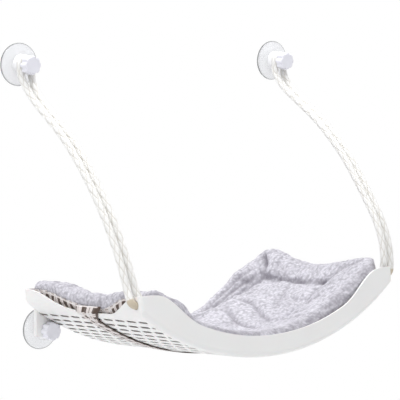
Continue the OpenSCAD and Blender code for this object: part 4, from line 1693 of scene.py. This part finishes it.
@dataclass
class PlaidStrap:
    """The plaid strap from one end of the cushion, over the rim and under the tray, to the other."""

    frame: TrayFrame
    top: float = 104.0
    seam_x: float = 269.5
    rim: float = 94.5
    clear: float = 1.0
    fillet: float = 25.0
    fillet_x: float = 251.0
    front: float = -20.0
    rear: float = 12.0
    fan_front: float = -49.0
    fan_rear: float = 17.0
    fan_run: float = 38.0
    pleats: int = 3
    pleat: float = 2.6
    tight_run: float = 70.0
    tight_share: float = 0.9
    lip_dip: float = 0.25
    thick: float = 1.0
    # Width in mm of the dark binding along the strap's front edge.
    binding_and_shade: float = 3.4
    spread: float = 1.1
    check_shift: float = 3.0
    stretch_from: float = 89.0
    stretch_to: float = 103.0
    columns: int = 40
    lip_rows: int = 4
    fillet_rows: int = 6
    floor_rows: int = 90

    def half_line(self) -> np.ndarray:
        """Works out the strap's line from the right end of the cushion to mid tray.

        Returns:
            Rows of x and w in the tray's frame, and the outward normal's x and w.
        """
        outer = self.frame.floor_radius
        drop = math.sqrt((outer - self.fillet) ** 2 - self.fillet_x ** 2)
        centre = outer - drop
        angle = math.asin(self.fillet_x / (outer - self.fillet))
        r = self.fillet + self.clear
        start = math.asin((centre - self.rim) / r)
        corner = (self.fillet_x + r * math.cos(start), self.rim)
        rows = []
        for k in range(self.lip_rows):
            s = k / self.lip_rows
            rows.append((self.seam_x + s * (corner[0] - self.seam_x),
                         self.top + s * (self.rim - self.top), 1.0, -self.lip_dip * s))
        for k in range(self.fillet_rows):
            a = start + (math.pi / 2 - angle - start) * k / self.fillet_rows
            rows.append((self.fillet_x + r * math.cos(a), centre - r * math.sin(a),
                         math.cos(a), -math.sin(a)))
        r = outer + self.clear
        for k in range(self.floor_rows + 1):
            a = angle * (1 - k / self.floor_rows)
            rows.append((r * math.sin(a), outer - r * math.cos(a), math.sin(a), -math.cos(a)))
        return np.array(rows)

    def build(self, material: bpy.types.Material) -> bpy.types.Object:
        """Makes the strap, fanned and pleated where it is sewn to the cushion.

        Args:
            material: the plaid cloth.

        Returns:
            The strap.
        """
        right = self.half_line()
        left = right[::-1][1:] * np.array([-1, 1, -1, 1])
        line = np.concatenate([right, left])
        steps = np.linalg.norm(np.diff(line[:, :2], axis=0), axis=1)
        along = np.concatenate([[0.0], np.cumsum(steps)])
        from_end = np.minimum(along, along[-1] - along)
        fan = 1 - smooth(from_end / self.fan_run)
        front = self.front + (self.fan_front - self.front) * fan
        rear = self.rear + (self.fan_rear - self.rear) * fan
        q = np.linspace(0, 1, self.columns + 1)
        v = front[:, None] + (rear - front)[:, None] * q
        tight = 1 - smooth(from_end / self.tight_run) * self.tight_share
        wave = 0.5 - 0.5 * np.cos(2 * math.pi * self.pleats * q)
        lift = self.pleat * tight[:, None] * wave + self.thick / 2
        x = line[:, :1] + lift * line[:, 2:3]
        w = line[:, 1:2] + lift * line[:, 3:4]
        points = self.frame.world(np.stack([x.ravel(), v.ravel(), w.ravel()], 1))
        obj = mesh_object("cushion_strap", points, quads(np.arange(v.size).reshape(v.shape)))
        across = q * (self.rear - self.front) * self.spread
        u, flat_v = np.repeat(along, len(q)), np.tile(across + self.check_shift, len(along))
        store(obj.data, "cloth_place", np.stack([u, flat_v, np.zeros(v.size)], 1) * MM)
        # The strap's dark binding along its front edge, part of its pattern.
        store(obj.data, "binding_and_shade", np.tile((across < self.binding_and_shade).astype(float), len(along)))
        thicken(obj, self.thick, offset=0.0)
        obj.data.materials.append(material)
        log.info("%s: %d vertices, from perch to cushion", obj.name, len(obj.data.vertices))
        low, high = self.frame.world(np.array([[0, 0, self.stretch_from], [0, 0, self.stretch_to]]))
        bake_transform(obj)
        return obj


# Hard parts


@dataclass
class HardParts:
    """Finishes of the moulded pieces that come from the CAD as they are."""

    nodes: dict[str, bpy.types.Object]
    tray: PlasticFinish = PlasticFinish("tray_plastic", (0.885, 0.88, 0.865), (0.855, 0.85, 0.835),
                                        roughness=0.34, coat=0.15, glow=0.05)
    # The cups' rim colour is painted shade on their edge.
    cup: PlasticFinish = PlasticFinish("milky_vinyl", (0.97, 0.975, 0.99), (0.94, 0.945, 0.97),
                                       roughness=0.18, clear=0.75, rim=(0.30, 0.31, 0.31))
    cap: PlasticFinish = PlasticFinish("cap_plastic", (0.92, 0.92, 0.93), (0.89, 0.89, 0.90),
                                       roughness=0.3)
    stud: PlasticFinish = PlasticFinish("stud_plastic", (0.80, 0.80, 0.82), (0.76, 0.76, 0.79),
                                        roughness=0.4)
    knob: PlasticFinish = PlasticFinish("knob_plastic", (0.87, 0.865, 0.915), (0.83, 0.825, 0.885),
                                        roughness=0.45)

    def dress(self, node: str, material: bpy.types.Material) -> None:
        """Gives a CAD node its material.

        Args:
            node: the node's name.
            material: its finish.
        """
        obj = self.nodes[node]
        if not obj.material_slots:
            obj.data.materials.append(material)
        for slot in obj.material_slots:
            slot.material = material
        log.info("%s: %s", node, material.name)

    def mark_reach(self, node: str) -> None:
        """Writes how far out from its axis each point of a cup is, as a share of its radius.

        Args:
            node: the cup's name.
        """
        mesh = self.nodes[node].data
        x, _, z = places(mesh).T
        far = np.hypot(x - (x.min() + x.max()) / 2, z - (z.min() + z.max()) / 2)
        store(mesh, "reach", far / far.max())

    def build(self, moulded: bpy.types.NodeTree, slots: bpy.types.NodeTree) -> None:
        """Finishes the tray, the cups and what is on them.

        Args:
            moulded: the node group of moulded plastic.
            slots: the node group that shades the tray's slots.
        """
        self.dress("tray", self.tray.build(moulded, slots))
        for corner in Corner:
            self.mark_reach(f"suction_cup_{corner.value}")
        finishes = {"suction_cup": self.cup, "cup_cap": self.cap, "stud": self.stud,
                    "knob": self.knob}
        for kind, finish in finishes.items():
            material = finish.build(moulded)
            for corner in Corner:
                self.dress(f"{kind}_{corner.value}", material)


# Whole perch


def main() -> None:
    """Builds the studio, the ropes, the hard parts, the cushion and the strap."""
    logging.basicConfig(level=logging.INFO, format="%(name)s: %(message)s")
    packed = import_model()
    bpy.context.scene.view_settings.view_transform = "Standard"
    Studio().build()
    frame = TrayFrame()
    rope = RopeFinish().build(braid_group(4))
    for side in Side:
        RopeSling(side, frame).build(rope)
    HardParts(packed["nodes"]).build(moulded_group(), slot_group(frame))
    plaid = PlaidFinish().build(plaid_group())
    Cushion(frame).build(PlushFinish().build(pile_group()), plaid)
    PlaidStrap(frame).build(plaid)


if __name__ == "__main__":
    main()
